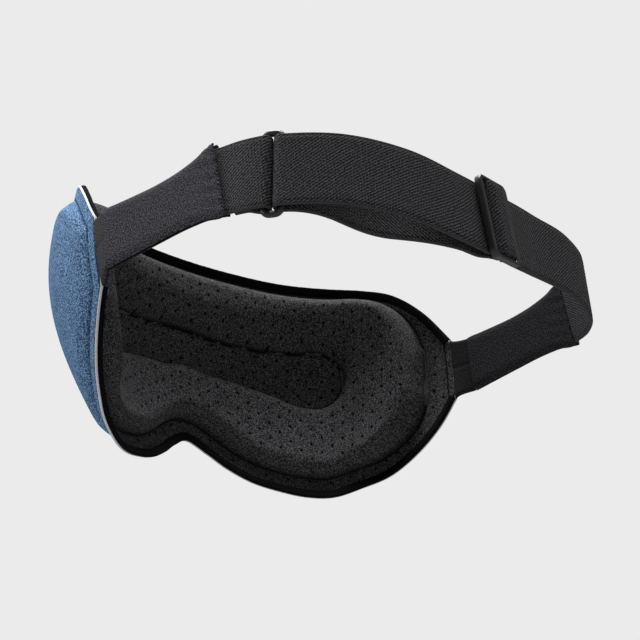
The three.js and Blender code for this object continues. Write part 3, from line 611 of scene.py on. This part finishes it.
def evenly(start, finish, step, out_at=lambda along: FLAT, drop_at=lambda along: 0):
    along = np.linspace(start, finish, max(2, int(abs(finish - start) / step) + 1))
    return np.stack([along, out_at(along) + 0 * along, drop_at(along) + 0 * along], axis=1)


def arc_round(along, out, radius, start, finish):
    angle = np.radians(np.linspace(start, finish, 14))
    return np.stack([along + radius * np.cos(angle), out + radius * np.sin(angle), 0 * angle], axis=1)


FLAT = -WEB_THICK / 2
LOOP_RADIUS = MIDDLE_RADIUS + GAP + WEB_THICK / 2
RING_OUT = FLAT - BAR_RADIUS - GAP - WEB_THICK / 2
RING_TURN = FLAT - RING_OUT
RING_REAR = RING_AT + RING_PITCH
SLIDER_OUT = FLAT + WEB_THICK / 2 + GAP + SLIDER_THICK / 2
BAR_OUT = SLIDER_OUT - MIDDLE_DROP
WEAVE_HIGH = BAR_OUT + LOOP_RADIUS + WEB_THICK + GAP
WEAVE_REACH = 14.5
LOOP_START = SLIDER_AT - 10.5
INNER_DROP = -4.4
SLACK_BULGE = 5.5
SLACK_SAG = 3
TURNED_IN = FLAT - WEB_THICK - GAP


def weave_rise(along):
    return lerp(FLAT, WEAVE_HIGH, ease((5.7 - np.abs(along - SLIDER_AT)) / 3.2))


def slack(along):
    return np.sin(math.pi * (along - RING_REAR) / (LOOP_START - RING_REAR)) ** 2


def inner_layer(along):
    straight = lerp(RING_OUT - RING_TURN, INNER_DROP, (along - RING_REAR) / (LOOP_START - RING_REAR))
    return straight - SLACK_BULGE * slack(along)


# The webbing in one length: from the right wing over the slider to the ring, back inside, and round the
# middle bar of the slider, where its end is sewn. Each stretch is a list of (along, out, drop) points.
STRETCHES = [
    ("right_run_end", evenly(STRAP_LENGTH + 2.5, STRAP_LENGTH - 36, 3)),
    ("right_run_web", evenly(STRAP_LENGTH - 36, SLIDER_AT + WEAVE_REACH, 3)),
    ("weave_web", evenly(SLIDER_AT + WEAVE_REACH, SLIDER_AT - WEAVE_REACH, 1.2, weave_rise)),
    ("doubled_web", np.concatenate([
        evenly(SLIDER_AT - WEAVE_REACH, RING_REAR + 1, 3),
        arc_round(RING_REAR, RING_OUT, RING_TURN, 90, 270),
        evenly(RING_REAR + 1, LOOP_START, 3, inner_layer, lambda a: SLACK_SAG * slack(a))])),
    ("loop_web", np.concatenate([
        [(LOOP_START, INNER_DROP, 0), (SLIDER_AT - 6.5, INNER_DROP + 0.5, 0),
         (SLIDER_AT - 3, BAR_OUT - LOOP_RADIUS - 0.8, 0)],
        arc_round(SLIDER_AT, BAR_OUT, LOOP_RADIUS, -90, 150)])),
]
RING_FRONT = RING_AT - RING_PITCH
ELASTIC = np.concatenate([
    evenly(-2.5, RING_FRONT - 1, 2.5),
    arc_round(RING_FRONT, RING_OUT, RING_TURN, 90, -90),
    evenly(RING_FRONT - 1, 2.5, 1.5,
           lambda a: lerp(RING_OUT - RING_TURN, TURNED_IN, ease((RING_FRONT - 1 - a) / 6)))])
WEB_STEP = 0.4
RIB_PITCH = 1.15
RIB_SLOPE = 0.8
RIB_HEIGHT = 0.1
FLOAT_PITCH = 1.5  # along the twill line, from one float to the next
SELVEDGE = 1.0


def ribs(along, height, low, high):
    """Short raised floats of a diagonal twill, with a plain selvedge along each edge."""
    line = (along * RIB_SLOPE + height) / RIB_PITCH
    broken = (along - height * RIB_SLOPE) / FLOAT_PITCH + 0.5 * np.floor(line)
    float_height = (0.5 + 0.5 * np.cos(2 * math.pi * line)) * (0.5 + 0.5 * np.cos(2 * math.pi * broken))
    edge = to_edge(height, low, high)
    return RIB_HEIGHT * (float_height * ease((edge - SELVEDGE) / 0.4) - 1.5 * bump(edge - SELVEDGE, 0.35))


def resampled(path, step):
    """A smooth line through (along, out, drop) points, with even steps."""
    distinct = path[np.concatenate([[True], np.linalg.norm(np.diff(path, axis=0), axis=1) > 1e-6])]
    fine = catmull_rom(distinct, 8)
    travelled = distances(fine)
    places = np.linspace(0, travelled[-1], int(travelled[-1] / step) + 1)
    return np.stack([np.interp(places, travelled, column) for column in fine.T], axis=1), places


def web(name, path, travelled, way=1):
    """A strip of webbing along smooth (along, out, drop) points."""
    along, out_by, drop = path.T
    point, run, out, width = strap_frame(along)
    step = normalised(np.gradient(path[:, :2], axis=0))
    centre = point + out * out_by[:, None] - width * drop[:, None]
    normal = out * step[:, :1] - run * step[:, 1:]
    half = WEB_WIDTH / 2
    return strip(name, centre, normal, width, -half, half, WEB_THICK, 60, relief=ribs, start=travelled, way=way)


def long_webbing():
    """The stretches of the webbing as pieces that meet end to end."""
    whole = np.concatenate([points if i == 0 else points[1:] for i, (_, points) in enumerate(STRETCHES)])
    smooth, places = resampled(whole, WEB_STEP)
    pieces, first = {}, 0
    for name, points in STRETCHES:
        last = first + int(np.argmin(np.linalg.norm(smooth[first:] - points[-1], axis=1)
                                     + 0.02 * np.abs(places[first:] - places[first] - distances(points)[-1])))
        pieces[name] = web(name, smooth[first:last + 1], places[first])
        first = last
    return pieces


def elastic():
    smooth, _ = resampled(ELASTIC, WEB_STEP)
    return web("elastic_web", smooth, 0.0, -1)


def strap_ring():
    half, corner = WEB_WIDTH / 2 + 1.6, 2.1
    path = []
    for side, up, first in ((1, 1, 0), (-1, 1, 90), (-1, -1, 180), (1, -1, 270)):
        for angle in np.radians(first + np.linspace(0, 90, 10)):
            along = side * (RING_PITCH - corner) + corner * math.cos(angle)
            path.append((along, up * (half - corner) + corner * math.sin(angle), angle))
    along, up, angle = (values[:, None] for values in np.array(path).T)
    turn = circle(16)[None]
    spread = BAR_RADIUS * np.cos(turn)
    point, run, out, width = frame_at(RING_AT)
    rings = (point + run * (along + spread * np.cos(angle))[..., None]
             + width * (up + spread * np.sin(angle))[..., None]
             + out * (RING_OUT + BAR_RADIUS * np.sin(turn) + 0 * angle)[..., None])
    return tube("ring_moulding", rings, closed=True)


def rounded_rectangle(x0, x1, y0, y1, radius):
    corners = [(x1, y1, 0), (x0, y1, 90), (x0, y0, 180), (x1, y0, 270)]
    points = []
    for x, y, first in corners:
        cx = x - radius if x == x1 else x + radius
        cy = y - radius if y == y1 else y + radius
        for angle in np.radians(first + np.linspace(0, 90, CORNER_STEPS)):
            points.append((cx + radius * math.cos(angle), cy + radius * math.sin(angle)))
    return points


def plate(name, outlines, thick, bevel):
    """A flat moulding from an outline with holes, its edges rounded, in its own X, Y with depth Z."""
    curve = bpy.data.curves.new(name, "CURVE")
    curve.dimensions = "2D"
    curve.fill_mode = "BOTH"
    curve.extrude = (thick / 2 - bevel) * MM
    curve.bevel_depth = bevel * MM
    curve.bevel_resolution = 3
    curve.offset = -bevel * MM
    for points in outlines:
        spline = curve.splines.new("POLY")
        spline.points.add(len(points) - 1)
        for point, (x, y) in zip(spline.points, points):
            point.co = (x * MM, y * MM, 0, 1)
        spline.use_cyclic_u = True
    source = add_object(name + "_outline", curve)
    mesh = bpy.data.meshes.new_from_object(source.evaluated_get(bpy.context.evaluated_depsgraph_get()))
    bpy.data.objects.remove(source)
    return mesh


def strap_slider():
    half = SLOT_HALF + RAIL
    outer = rounded_rectangle(*SLIDER_ENDS, -half, half, 2.6)
    slot = rounded_rectangle(*SLOT_ENDS, -SLOT_HALF, SLOT_HALF, 0.7)
    mesh = plate("slider_frame", [outer, slot], SLIDER_THICK, 0.5)
    work = bmesh.new()
    work.from_mesh(mesh)
    bar = bmesh.ops.create_cone(work, cap_ends=True, segments=24, radius1=MIDDLE_RADIUS * MM,
                                radius2=MIDDLE_RADIUS * MM, depth=(2 * SLOT_HALF + RAIL) * MM)
    lowered = Matrix.Translation((0, 0, -MIDDLE_DROP * MM)) @ Matrix.Rotation(math.pi / 2, 4, "X")
    bmesh.ops.transform(work, matrix=lowered, verts=bar["verts"])
    point, run, out, width = map(Vector, frame_at(SLIDER_AT))
    up = (width - run * width.dot(run)).normalized()
    away = run.cross(up)
    place = Matrix((run, up, away)).transposed().to_4x4()
    place.translation = (point + out * SLIDER_OUT) * MM
    bmesh.ops.transform(work, matrix=place, verts=work.verts)
    work.to_mesh(mesh)
    work.free()
    mesh.polygons.foreach_set("use_smooth", [True] * len(mesh.polygons))
    mesh.set_sharp_from_angle(angle=math.radians(50))
    return add_object("slider_moulding", mesh)


def turned(name, profile, z):
    """A solid turned about a line along Y at height z, from (radius, y) points."""
    angle = circle(96)
    radius, y = np.array(profile, float).T
    x, height = radius * np.cos(angle)[:, None], z + radius * np.sin(angle)[:, None]
    rings = np.stack(np.broadcast_arrays(x, y, height), -1)
    return tube(name, rings, closed=True)


button_dome = dome_at(np.zeros(1), np.array([BUTTON_Z]), np.array([20.0]))[0]
FRONT_Y = float(mask_point(0, BUTTON_Z, -button_dome)[1])


def button_pieces():
    face, r = FRONT_Y - 1, BUTTON_RADIUS
    dish = [(x, face + 0.35 * (1 - (x / (r - 1)) ** 2)) for x in np.linspace(0.02, r - 1, 12)]
    angles = np.radians(np.linspace(15, 90, 6))
    edge = [(r - 1 + 0.9 * math.sin(a), face + 0.6 * (1 - math.cos(a))) for a in angles]
    back = [(r - 0.1, face + 1.6), (2.4, face + 1.6), (2.4, face + 2.4), (0.02, face + 2.4)]
    cap = turned("button_moulding", dish + edge + back, BUTTON_Z)
    inner, outer, front = r + GAP, BEZEL_RADIUS, FRONT_Y - 0.5
    lip = [(lerp(inner, outer, k), front + 0.55 * (2 * k - 1) ** 4) for k in np.linspace(0, 1, 13)]
    bezel = turned("bezel_moulding", lip + [(outer, FRONT_Y + 0.7), (inner, FRONT_Y + 0.7)], BUTTON_Z)
    return cap, bezel


# Materials
class Shader:
    """A Principled material with its nodes, built up one call at a time."""

    def __init__(self, name, roughness, metallic=0.0, specular=0.35, coat=0.0):
        self.material = bpy.data.materials.new(name)
        self.material.use_nodes = True
        self.tree = self.material.node_tree
        self.surface = self.tree.nodes["Principled BSDF"]
        looks = {"Roughness": roughness, "Metallic": metallic, "Specular IOR Level": specular,
                 "Coat Weight": coat}
        for socket, value in looks.items():
            self.surface.inputs[socket].default_value = value

    def node(self, kind, inputs=(), **settings):
        node = self.tree.nodes.new(kind)
        for key, value in settings.items():
            setattr(node, key, value)
        for key, value in dict(inputs).items():
            if isinstance(value, bpy.types.NodeSocket):
                self.tree.links.new(value, node.inputs[key])
            else:
                node.inputs[key].default_value = value
        return node

    def place(self, flat):
        """Coordinates in millimetres: over the fabric when flat, or in space."""
        if flat:
            source = self.node("ShaderNodeUVMap", uv_map="place").outputs["UV"]
        else:
            source = self.node("ShaderNodeTexCoord").outputs["Object"]
        return self.node("ShaderNodeMapping", {"Vector": source, "Scale": (1 / MM,) * 3}).outputs["Vector"]

    def noise(self, place, scale, detail=2.0, roughness=0.5):
        inputs = {"Vector": place, "Scale": scale, "Detail": detail, "Roughness": roughness}
        return self.node("ShaderNodeTexNoise", inputs).outputs["Fac"]

    def ramp(self, value, stops):
        node = self.node("ShaderNodeValToRGB", {"Fac": value})
        stops = list(stops)
        while len(node.color_ramp.elements) < len(stops):
            node.color_ramp.elements.new(0.5)
        for element, (position, colour) in zip(node.color_ramp.elements, stops):
            element.position = position
            element.color = (*colour, 1) if isinstance(colour, tuple) else (colour, colour, colour, 1)
        return node.outputs["Color"]

    def math(self, operation, a, b=0.0, c=0.0):
        return self.node("ShaderNodeMath", {0: a, 1: b, 2: c}, operation=operation).outputs[0]

    def mix(self, factor, a, b, blend="MIX"):
        node = self.node("ShaderNodeMix", data_type="RGBA", blend_type=blend)
        for socket, value in ((node.inputs[0], factor), (node.inputs[6], a), (node.inputs[7], b)):
            if isinstance(value, bpy.types.NodeSocket):
                self.tree.links.new(value, socket)
            else:
                socket.default_value = (*value, 1) if isinstance(value, tuple) else value
        return node.outputs[2]

    def colour(self, value):
        if isinstance(value, tuple):
            self.surface.inputs["Base Color"].default_value = (*value, 1)
        else:
            self.tree.links.new(value, self.surface.inputs["Base Color"])

    def darken(self, shade, amount=1.0):
        """Multiplies the colour so far by a shade."""
        so_far = self.surface.inputs["Base Color"].links[0].from_socket
        self.colour(self.mix(amount, so_far, shade, "MULTIPLY"))

    def amount(self, name):
        """An attribute that mark() gave to the piece."""
        return self.node("ShaderNodeAttribute", attribute_name=name).outputs["Fac"]

    def roughness(self, value, low, high):
        spread = self.node("ShaderNodeMapRange", {"Value": value, "To Min": low, "To Max": high})
        self.tree.links.new(spread.outputs["Result"], self.surface.inputs["Roughness"])

    def bump(self, height, distance):
        """distance in millimetres."""
        inputs = {"Height": height, "Distance": distance * MM, "Strength": 1.0}
        raised = self.node("ShaderNodeBump", inputs)
        self.tree.links.new(raised.outputs["Normal"], self.surface.inputs["Normal"])


def scaled(colour, factor):
    return tuple(min(1.0, channel * factor) for channel in colour)


def heather(name, colour, contrast, flat, grain=1.1, fuzz=0.15):
    """Knitted or brushed fabric with light and dark fibres."""
    shader = Shader(name, 0.95, specular=0.06)
    place = shader.place(flat)
    fibres = shader.noise(place, grain, 2, 0.7)
    blotches = shader.noise(place, 0.16, 2)
    low, high = 1 - contrast, 1 + contrast
    shades = shader.ramp(fibres, [(0.38, scaled(colour, low * 0.4)), (0.47, scaled(colour, low)),
                                  (0.53, scaled(colour, high)), (0.62, scaled(colour, high * 2))])
    shader.colour(shades)
    shader.darken(shader.ramp(blotches, [(0.35, 0.95), (0.65, 1.05)]))
    shader.bump(shader.noise(place, grain * 1.4, 3, 0.7), fuzz)
    return shader


def with_painted_shade(shader, depth):
    """Paints shade into a fabric's colour where its seam attribute is set: along the sewn grooves of its sheet,
    under the binding tape and over the hinge panels' inner faces.
    """
    shader.darken(shader.ramp(shader.amount("seam"), [(0.15, 1.0), (0.75, depth)]))
    return shader


def lining_material():
    """Brushed knit with painted shade in the middle of its perforations."""
    shader = with_painted_shade(heather("lining knit", (0.026, 0.026, 0.0275), 0.55, False, 2.0, 0.2), 0.1)
    source = shader.node("ShaderNodeUVMap", uv_map="place").outputs["UV"]
    scale = (HOLE_CELL[0] * MM, HOLE_CELL[1] * MM, 1)
    cell = shader.node("ShaderNodeMapping", {"Vector": source, "Rotation": (0, 0, HOLE_TURN), "Scale": scale},
                       vector_type="TEXTURE").outputs["Vector"]
    x, y = shader.node("ShaderNodeSeparateXYZ", {"Vector": cell}).outputs[:2]
    p, q = (shader.math("SUBTRACT", shader.math("FRACT", shader.math(way, x, y)), 0.5)
            for way in ("ADD", "SUBTRACT"))
    across = shader.math("MULTIPLY", shader.math("ADD", p, q), HOLE_CELL[0] / 2)
    upward = shader.math("MULTIPLY", shader.math("SUBTRACT", p, q), HOLE_CELL[1] / 2)
    square = shader.math("MULTIPLY_ADD", across, across, shader.math("MULTIPLY", upward, upward))
    # Painted shade in each perforation, as strong as the pierced attribute lets it.
    inside = shader.ramp(shader.math("SQRT", square), [(HOLE_RADIUS * 0.8, 0.06), (HOLE_RADIUS * 1.25, 1.0)])
    shader.darken(inside, shader.amount("pierced"))
    return shader


def webbing_material():
    """Twill webbing: short floats painted light as painted highlight on a ground darkened as painted shade, and
    a plain selvedge along each edge whose rim is painted light as a painted highlight.
    """
    shader = Shader("elastic webbing", 0.85, specular=0.12)
    place = shader.place(True)
    axes = shader.node("ShaderNodeSeparateXYZ", {"Vector": place}).outputs
    line = shader.math("DIVIDE", shader.math("MULTIPLY_ADD", axes[0], RIB_SLOPE, axes[1]), RIB_PITCH)
    wave = shader.math("COSINE", shader.math("MULTIPLY", line, 2 * math.pi))
    offset = shader.math("MULTIPLY_ADD", shader.math("FLOOR", line), 0.5 * FLOAT_PITCH, axes[0])
    broken = shader.math("MULTIPLY_ADD", axes[1], -RIB_SLOPE, offset)
    dash = shader.math("COSINE", shader.math("MULTIPLY", broken, 2 * math.pi / FLOAT_PITCH))
    fibres = shader.noise(place, 2.2, 2, 0.7)
    weave = shader.math("MULTIPLY_ADD", dash, 0.4, wave)
    lit = shader.math("MULTIPLY_ADD", weave, 0.1, fibres)
    # The twill's floats are painted light and the ground between them dark: painted highlight and shade of the
    # weave's relief.
    shades = shader.ramp(lit, [(0.38, (0.002, 0.002, 0.0024)), (0.5, (0.011, 0.011, 0.0122)),
                               (0.64, (0.072, 0.072, 0.078))])
    # Painted highlight along the outer rim of each selvedge.
    from_middle = shader.math("ABSOLUTE", axes[1])
    edge = shader.ramp(shader.math("SUBTRACT", from_middle, WEB_WIDTH / 2 - SELVEDGE), [(0.4, 0.0), (0.9, 1.0)])
    shader.colour(shader.mix(edge, shades, (0.03, 0.03, 0.034)))
    shader.bump(fibres, 0.1)
    return shader


def moulding(name, colour, roughness, specular=0.5, speckle=0.04, metallic=0.0, coat=0.0):
    """Moulded plastic or plain metal with a fine texture and slight unevenness."""
    shader = Shader(name, roughness, metallic, specular, coat=coat)
    place = shader.place(False)
    fine = shader.noise(place, 2.5, 2)
    tone = shader.ramp(shader.noise(place, 0.25, 3), [(0.35, scaled(colour, 0.9)), (0.7, scaled(colour, 1.12))])
    shader.colour(tone)
    shader.roughness(fine, roughness - 0.06, roughness + 0.08)
    shader.bump(fine, speckle)
    return shader


def board_material():
    """Solder mask with copper tracks under it."""
    shader = Shader("solder mask", 0.35, specular=0.5)
    place = shader.place(False)
    bricks = shader.node("ShaderNodeTexBrick", {
        "Vector": place, "Scale": 0.35, "Mortar Size": 0.06, "Color1": (0.012, 0.07, 0.035, 1),
        "Color2": (0.016, 0.085, 0.045, 1), "Mortar": (0.04, 0.14, 0.06, 1)})
    shader.colour(bricks.outputs["Color"])
    shader.bump(bricks.outputs["Fac"], 0.03)
    return shader


def binding_material(name, colour):
    """Folded tape with a fine rib across it."""
    shader = Shader(name, 0.9, specular=0.02)
    place = shader.place(True)
    fibres = shader.noise(place, 2.2, 2)
    shader.colour(shader.ramp(fibres, [(0.3, scaled(colour, 0.7)), (0.7, scaled(colour, 1.4))]))
    axes = shader.node("ShaderNodeSeparateXYZ", {"Vector": place}).outputs
    rib = shader.math("SINE", shader.math("MULTIPLY", axes[0], 2 * math.pi / 0.7))
    shader.bump(shader.math("MULTIPLY_ADD", rib, 0.4, fibres), 0.05)
    return shader


def foam_material():
    """Open-cell foam."""
    shader = Shader("open cell foam", 1.0, specular=0.1)
    inputs = {"Vector": shader.place(False), "Scale": 1.6}
    cells = shader.node("ShaderNodeTexVoronoi", inputs).outputs["Distance"]
    shader.colour(shader.ramp(cells, [(0.1, 0.02), (0.6, 0.06)]))
    shader.bump(cells, 0.3)
    return shader


def foil_material():
    """Crinkled foil pouch."""
    shader = Shader("battery foil", 0.4, metallic=0.85)
    folds = shader.noise(shader.place(False), 0.4, 4, 0.6)
    shader.colour(shader.ramp(folds, [(0.3, 0.35), (0.7, 0.6)]))
    shader.bump(folds, 0.5)
    return shader


LOOKS = {
    "cover": with_painted_shade(heather("denim blue knit", (0.064, 0.117, 0.202), 0.42, False, 2.0, 0.2), 0.35),
    "lining": lining_material(),
    "wing_outer": heather("charcoal heather", (0.028, 0.028, 0.033), 0.5, True, 2.2),
    # The wings' inner faces: the outer faces' heather painted darker, as painted shade.
    "wing_inner": heather("charcoal heather in painted shade", (0.012, 0.012, 0.0135), 0.55, True, 2.0),
    "panel": with_painted_shade(heather("smooth charcoal jersey", (0.028, 0.0275, 0.028), 0.2, True, 2.5, 0.05), 0.35),
    "binding": binding_material("black binding tape", (0.0032, 0.0032, 0.0036)),
    "piping": binding_material("light grey piping", (0.42, 0.44, 0.47)),
    "webbing": webbing_material(),
    "foam": foam_material(),
    "plastic": moulding("black plastic", (0.009, 0.009, 0.01), 0.42, 0.35),
    "button": moulding("button plastic", (0.02, 0.03, 0.045), 0.42),
    "shell": moulding("moulded former", (0.025, 0.026, 0.028), 0.55),
    "steel": moulding("plain steel", (0.5, 0.5, 0.52), 0.3, metallic=1.0, speckle=0.01),
    "foil": foil_material(),
    "lead": moulding("lead sheath", (0.14, 0.02, 0.02), 0.5),
    "lens": moulding("light lens", (0.8, 0.83, 0.86), 0.25, coat=0.5),
    "board": board_material(),
}


def finish_piece(piece, look, node):
    piece.data.materials.clear()
    piece.data.materials.append(LOOKS[look].material)
    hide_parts(node)


def ride_on(body, piece, look, node):
    finish_piece(piece, look, node)
    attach(piece, body)
    return piece


def at(points):
    """Points in metres."""
    return tuple(float(value) * MM for value in points)


# The pieces of the mask
ride_on("mask", front_cover(), "cover", "front_cover")
ride_on("mask", contour_foam(), "foam", "contour_pad")
ride_on("mask", face_lining(), "lining", "lining")
for tape, node in bindings():
    ride_on("mask", tape, "binding", node)
ride_on("mask", piping(), "piping", "edge_piping")
cap, bezel = button_pieces()
ride_on("button", cap, "button", "button_cap")
ride_on("mask", bezel, "plastic", "button_bezel")

# Wings, each with its hinge panel
for side, word in ((1, "left"), (-1, "right")):
    panel = hinge_panel(side, word)
    finish_piece(panel, "panel", f"{word}_hinge_panel")
    seam = mask_point(side * HALF_ARC, 0, 0)
    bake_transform(panel)
    for piece, node, look in wing_sheets(side, word):
        finish_piece(piece, look, node)
        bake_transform(piece)

# Strap
webs = long_webbing()


# For each stretch its node, and where it crosses a joint the two bodies and where it turns between them
WEBBING = {
    "right_run_end": ("right_run", "strap_ends", "strap_rear", STRAP_LENGTH - 3, STRAP_LENGTH - 33),
    "right_run_web": ("right_run", "strap_rear", "slider", STRAP_LENGTH - 36, SLIDER_AT + WEAVE_REACH + 1),
    "doubled_web": ("doubled_webbing", "strap_rear", "slider", RING_AT + 12, LOOP_START - 1),
    "weave_web": ("slider_weave",),
    "loop_web": ("sewn_loop",),
}
for name, piece in webs.items():
    node, *crossing = WEBBING[name]
    finish_piece(piece, "webbing", node)
    if crossing:
        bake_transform(piece)
    else:
        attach(piece, "slider")

left_elastic = elastic()
finish_piece(left_elastic, "webbing", "left_elastic")
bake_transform(left_elastic)
ride_on("ring", strap_ring(), "plastic", "strap_ring")
ride_on("slider", strap_slider(), "plastic", "strap_slider")

# CAD pieces that keep their shape
KEPT = {"shell": ("front_shell", "back_tray"), "board": ("control_board",), "lens": ("indicator_light",),
        "plastic": ("button_switch", "socket_trim"), "steel": ("charge_socket", "left_motor", "right_motor"),
        "foil": ("battery_cell",), "lead": ("battery_lead", "left_motor_lead", "right_motor_lead")}
for look, name in ((look, name) for look, names in KEPT.items() for name in names):
    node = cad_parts[name]
    node.data.materials.clear()
    node.data.materials.append(LOOKS[look].material)
    rounding = node.modifiers.new("rounding", "BEVEL")
    rounding.width = 0.25 * MM
    rounding.segments = 2
    rounding.angle_limit = math.radians(40)
    node.data.polygons.foreach_set("use_smooth", [True] * len(node.data.polygons))

# Camera, floor and light
AZIMUTH, ELEVATION, ROLL = (math.radians(angle) for angle in (135.34, -27.06, -5.68))
DISTANCE = 730.4
TARGET = Vector((-60.04, 20.11, 35.32))
SENSOR = 36
FOCAL = 102.6

back = Vector((math.sin(AZIMUTH) * math.cos(ELEVATION), -math.cos(AZIMUTH) * math.cos(ELEVATION),
               math.sin(ELEVATION)))
level = Vector((math.cos(AZIMUTH), math.sin(AZIMUTH), 0))
above = back.cross(level)
right = level * math.cos(ROLL) + above * math.sin(ROLL)
upward = above * math.cos(ROLL) - level * math.sin(ROLL)
lens = bpy.data.cameras.new("camera")
lens.sensor_width = SENSOR
lens.lens = FOCAL
camera = add_object("camera", lens)
camera.matrix_world = Matrix((right, upward, back)).transposed().to_4x4()
camera.location = (TARGET + back * DISTANCE) * MM
bpy.context.scene.camera = camera

FLOOR_Z = -0.8
FLOOR_SIZE = 12
floor_mesh = bpy.data.meshes.new("floor")
corners = [(x * FLOOR_SIZE / 2, y * FLOOR_SIZE / 2, FLOOR_Z)
           for x, y in ((-1, -1), (1, -1), (1, 1), (-1, 1))]
floor_mesh.from_pydata(corners, [], [(0, 1, 2, 3)])
floor = add_object("floor", floor_mesh)
pale = Shader("pale floor", 0.9)
pale.colour((0.2, 0.2, 0.2))
floor.data.materials.append(pale.material)


def add_light(name, kind, power, place, aim):
    light = bpy.data.lights.new(name, kind)
    light.energy = power
    lamp = add_object(name, light)
    lamp.location = place
    lamp.rotation_euler = (Vector(aim) - Vector(place)).to_track_quat("-Z", "Y").to_euler()
    return light


sun = add_light("overhead", "SUN", 10, (0, 0, 0), (-0.05, -0.04, -1))
sun.angle = math.radians(35)
for name, place, aim, size, power in (("front side", (1.0, -0.8, 0.55), (0, 0.05, 0), 0.8, 17),
                                      ("camera side", (0.7, 0.9, -0.1), (0, 0.07, 0), 0.8, 0.8),
                                      ("far side", (-0.8, 0.9, 0.4), (0, 0.05, 0), 0.7, 1.8)):
    add_light(name, "AREA", power, place, aim).size = size

world = bpy.data.worlds.new("studio")
bpy.context.scene.world = world
world.use_nodes = True
sky = world.node_tree
backdrop = sky.nodes["Background"]
backdrop.inputs["Color"].default_value = (0.83, 0.83, 0.83, 1)
dim = sky.nodes.new("ShaderNodeBackground")
dim.inputs["Color"].default_value = (1, 1, 1, 1)
dim.inputs["Strength"].default_value = 0.1
seen = sky.nodes.new("ShaderNodeLightPath")
choose = sky.nodes.new("ShaderNodeMixShader")
sky.links.new(seen.outputs["Is Camera Ray"], choose.inputs[0])
sky.links.new(dim.outputs[0], choose.inputs[1])
sky.links.new(backdrop.outputs[0], choose.inputs[2])
sky.links.new(choose.outputs[0], sky.nodes["World Output"].inputs["Surface"])
bpy.context.scene.view_settings.view_transform = "Standard"
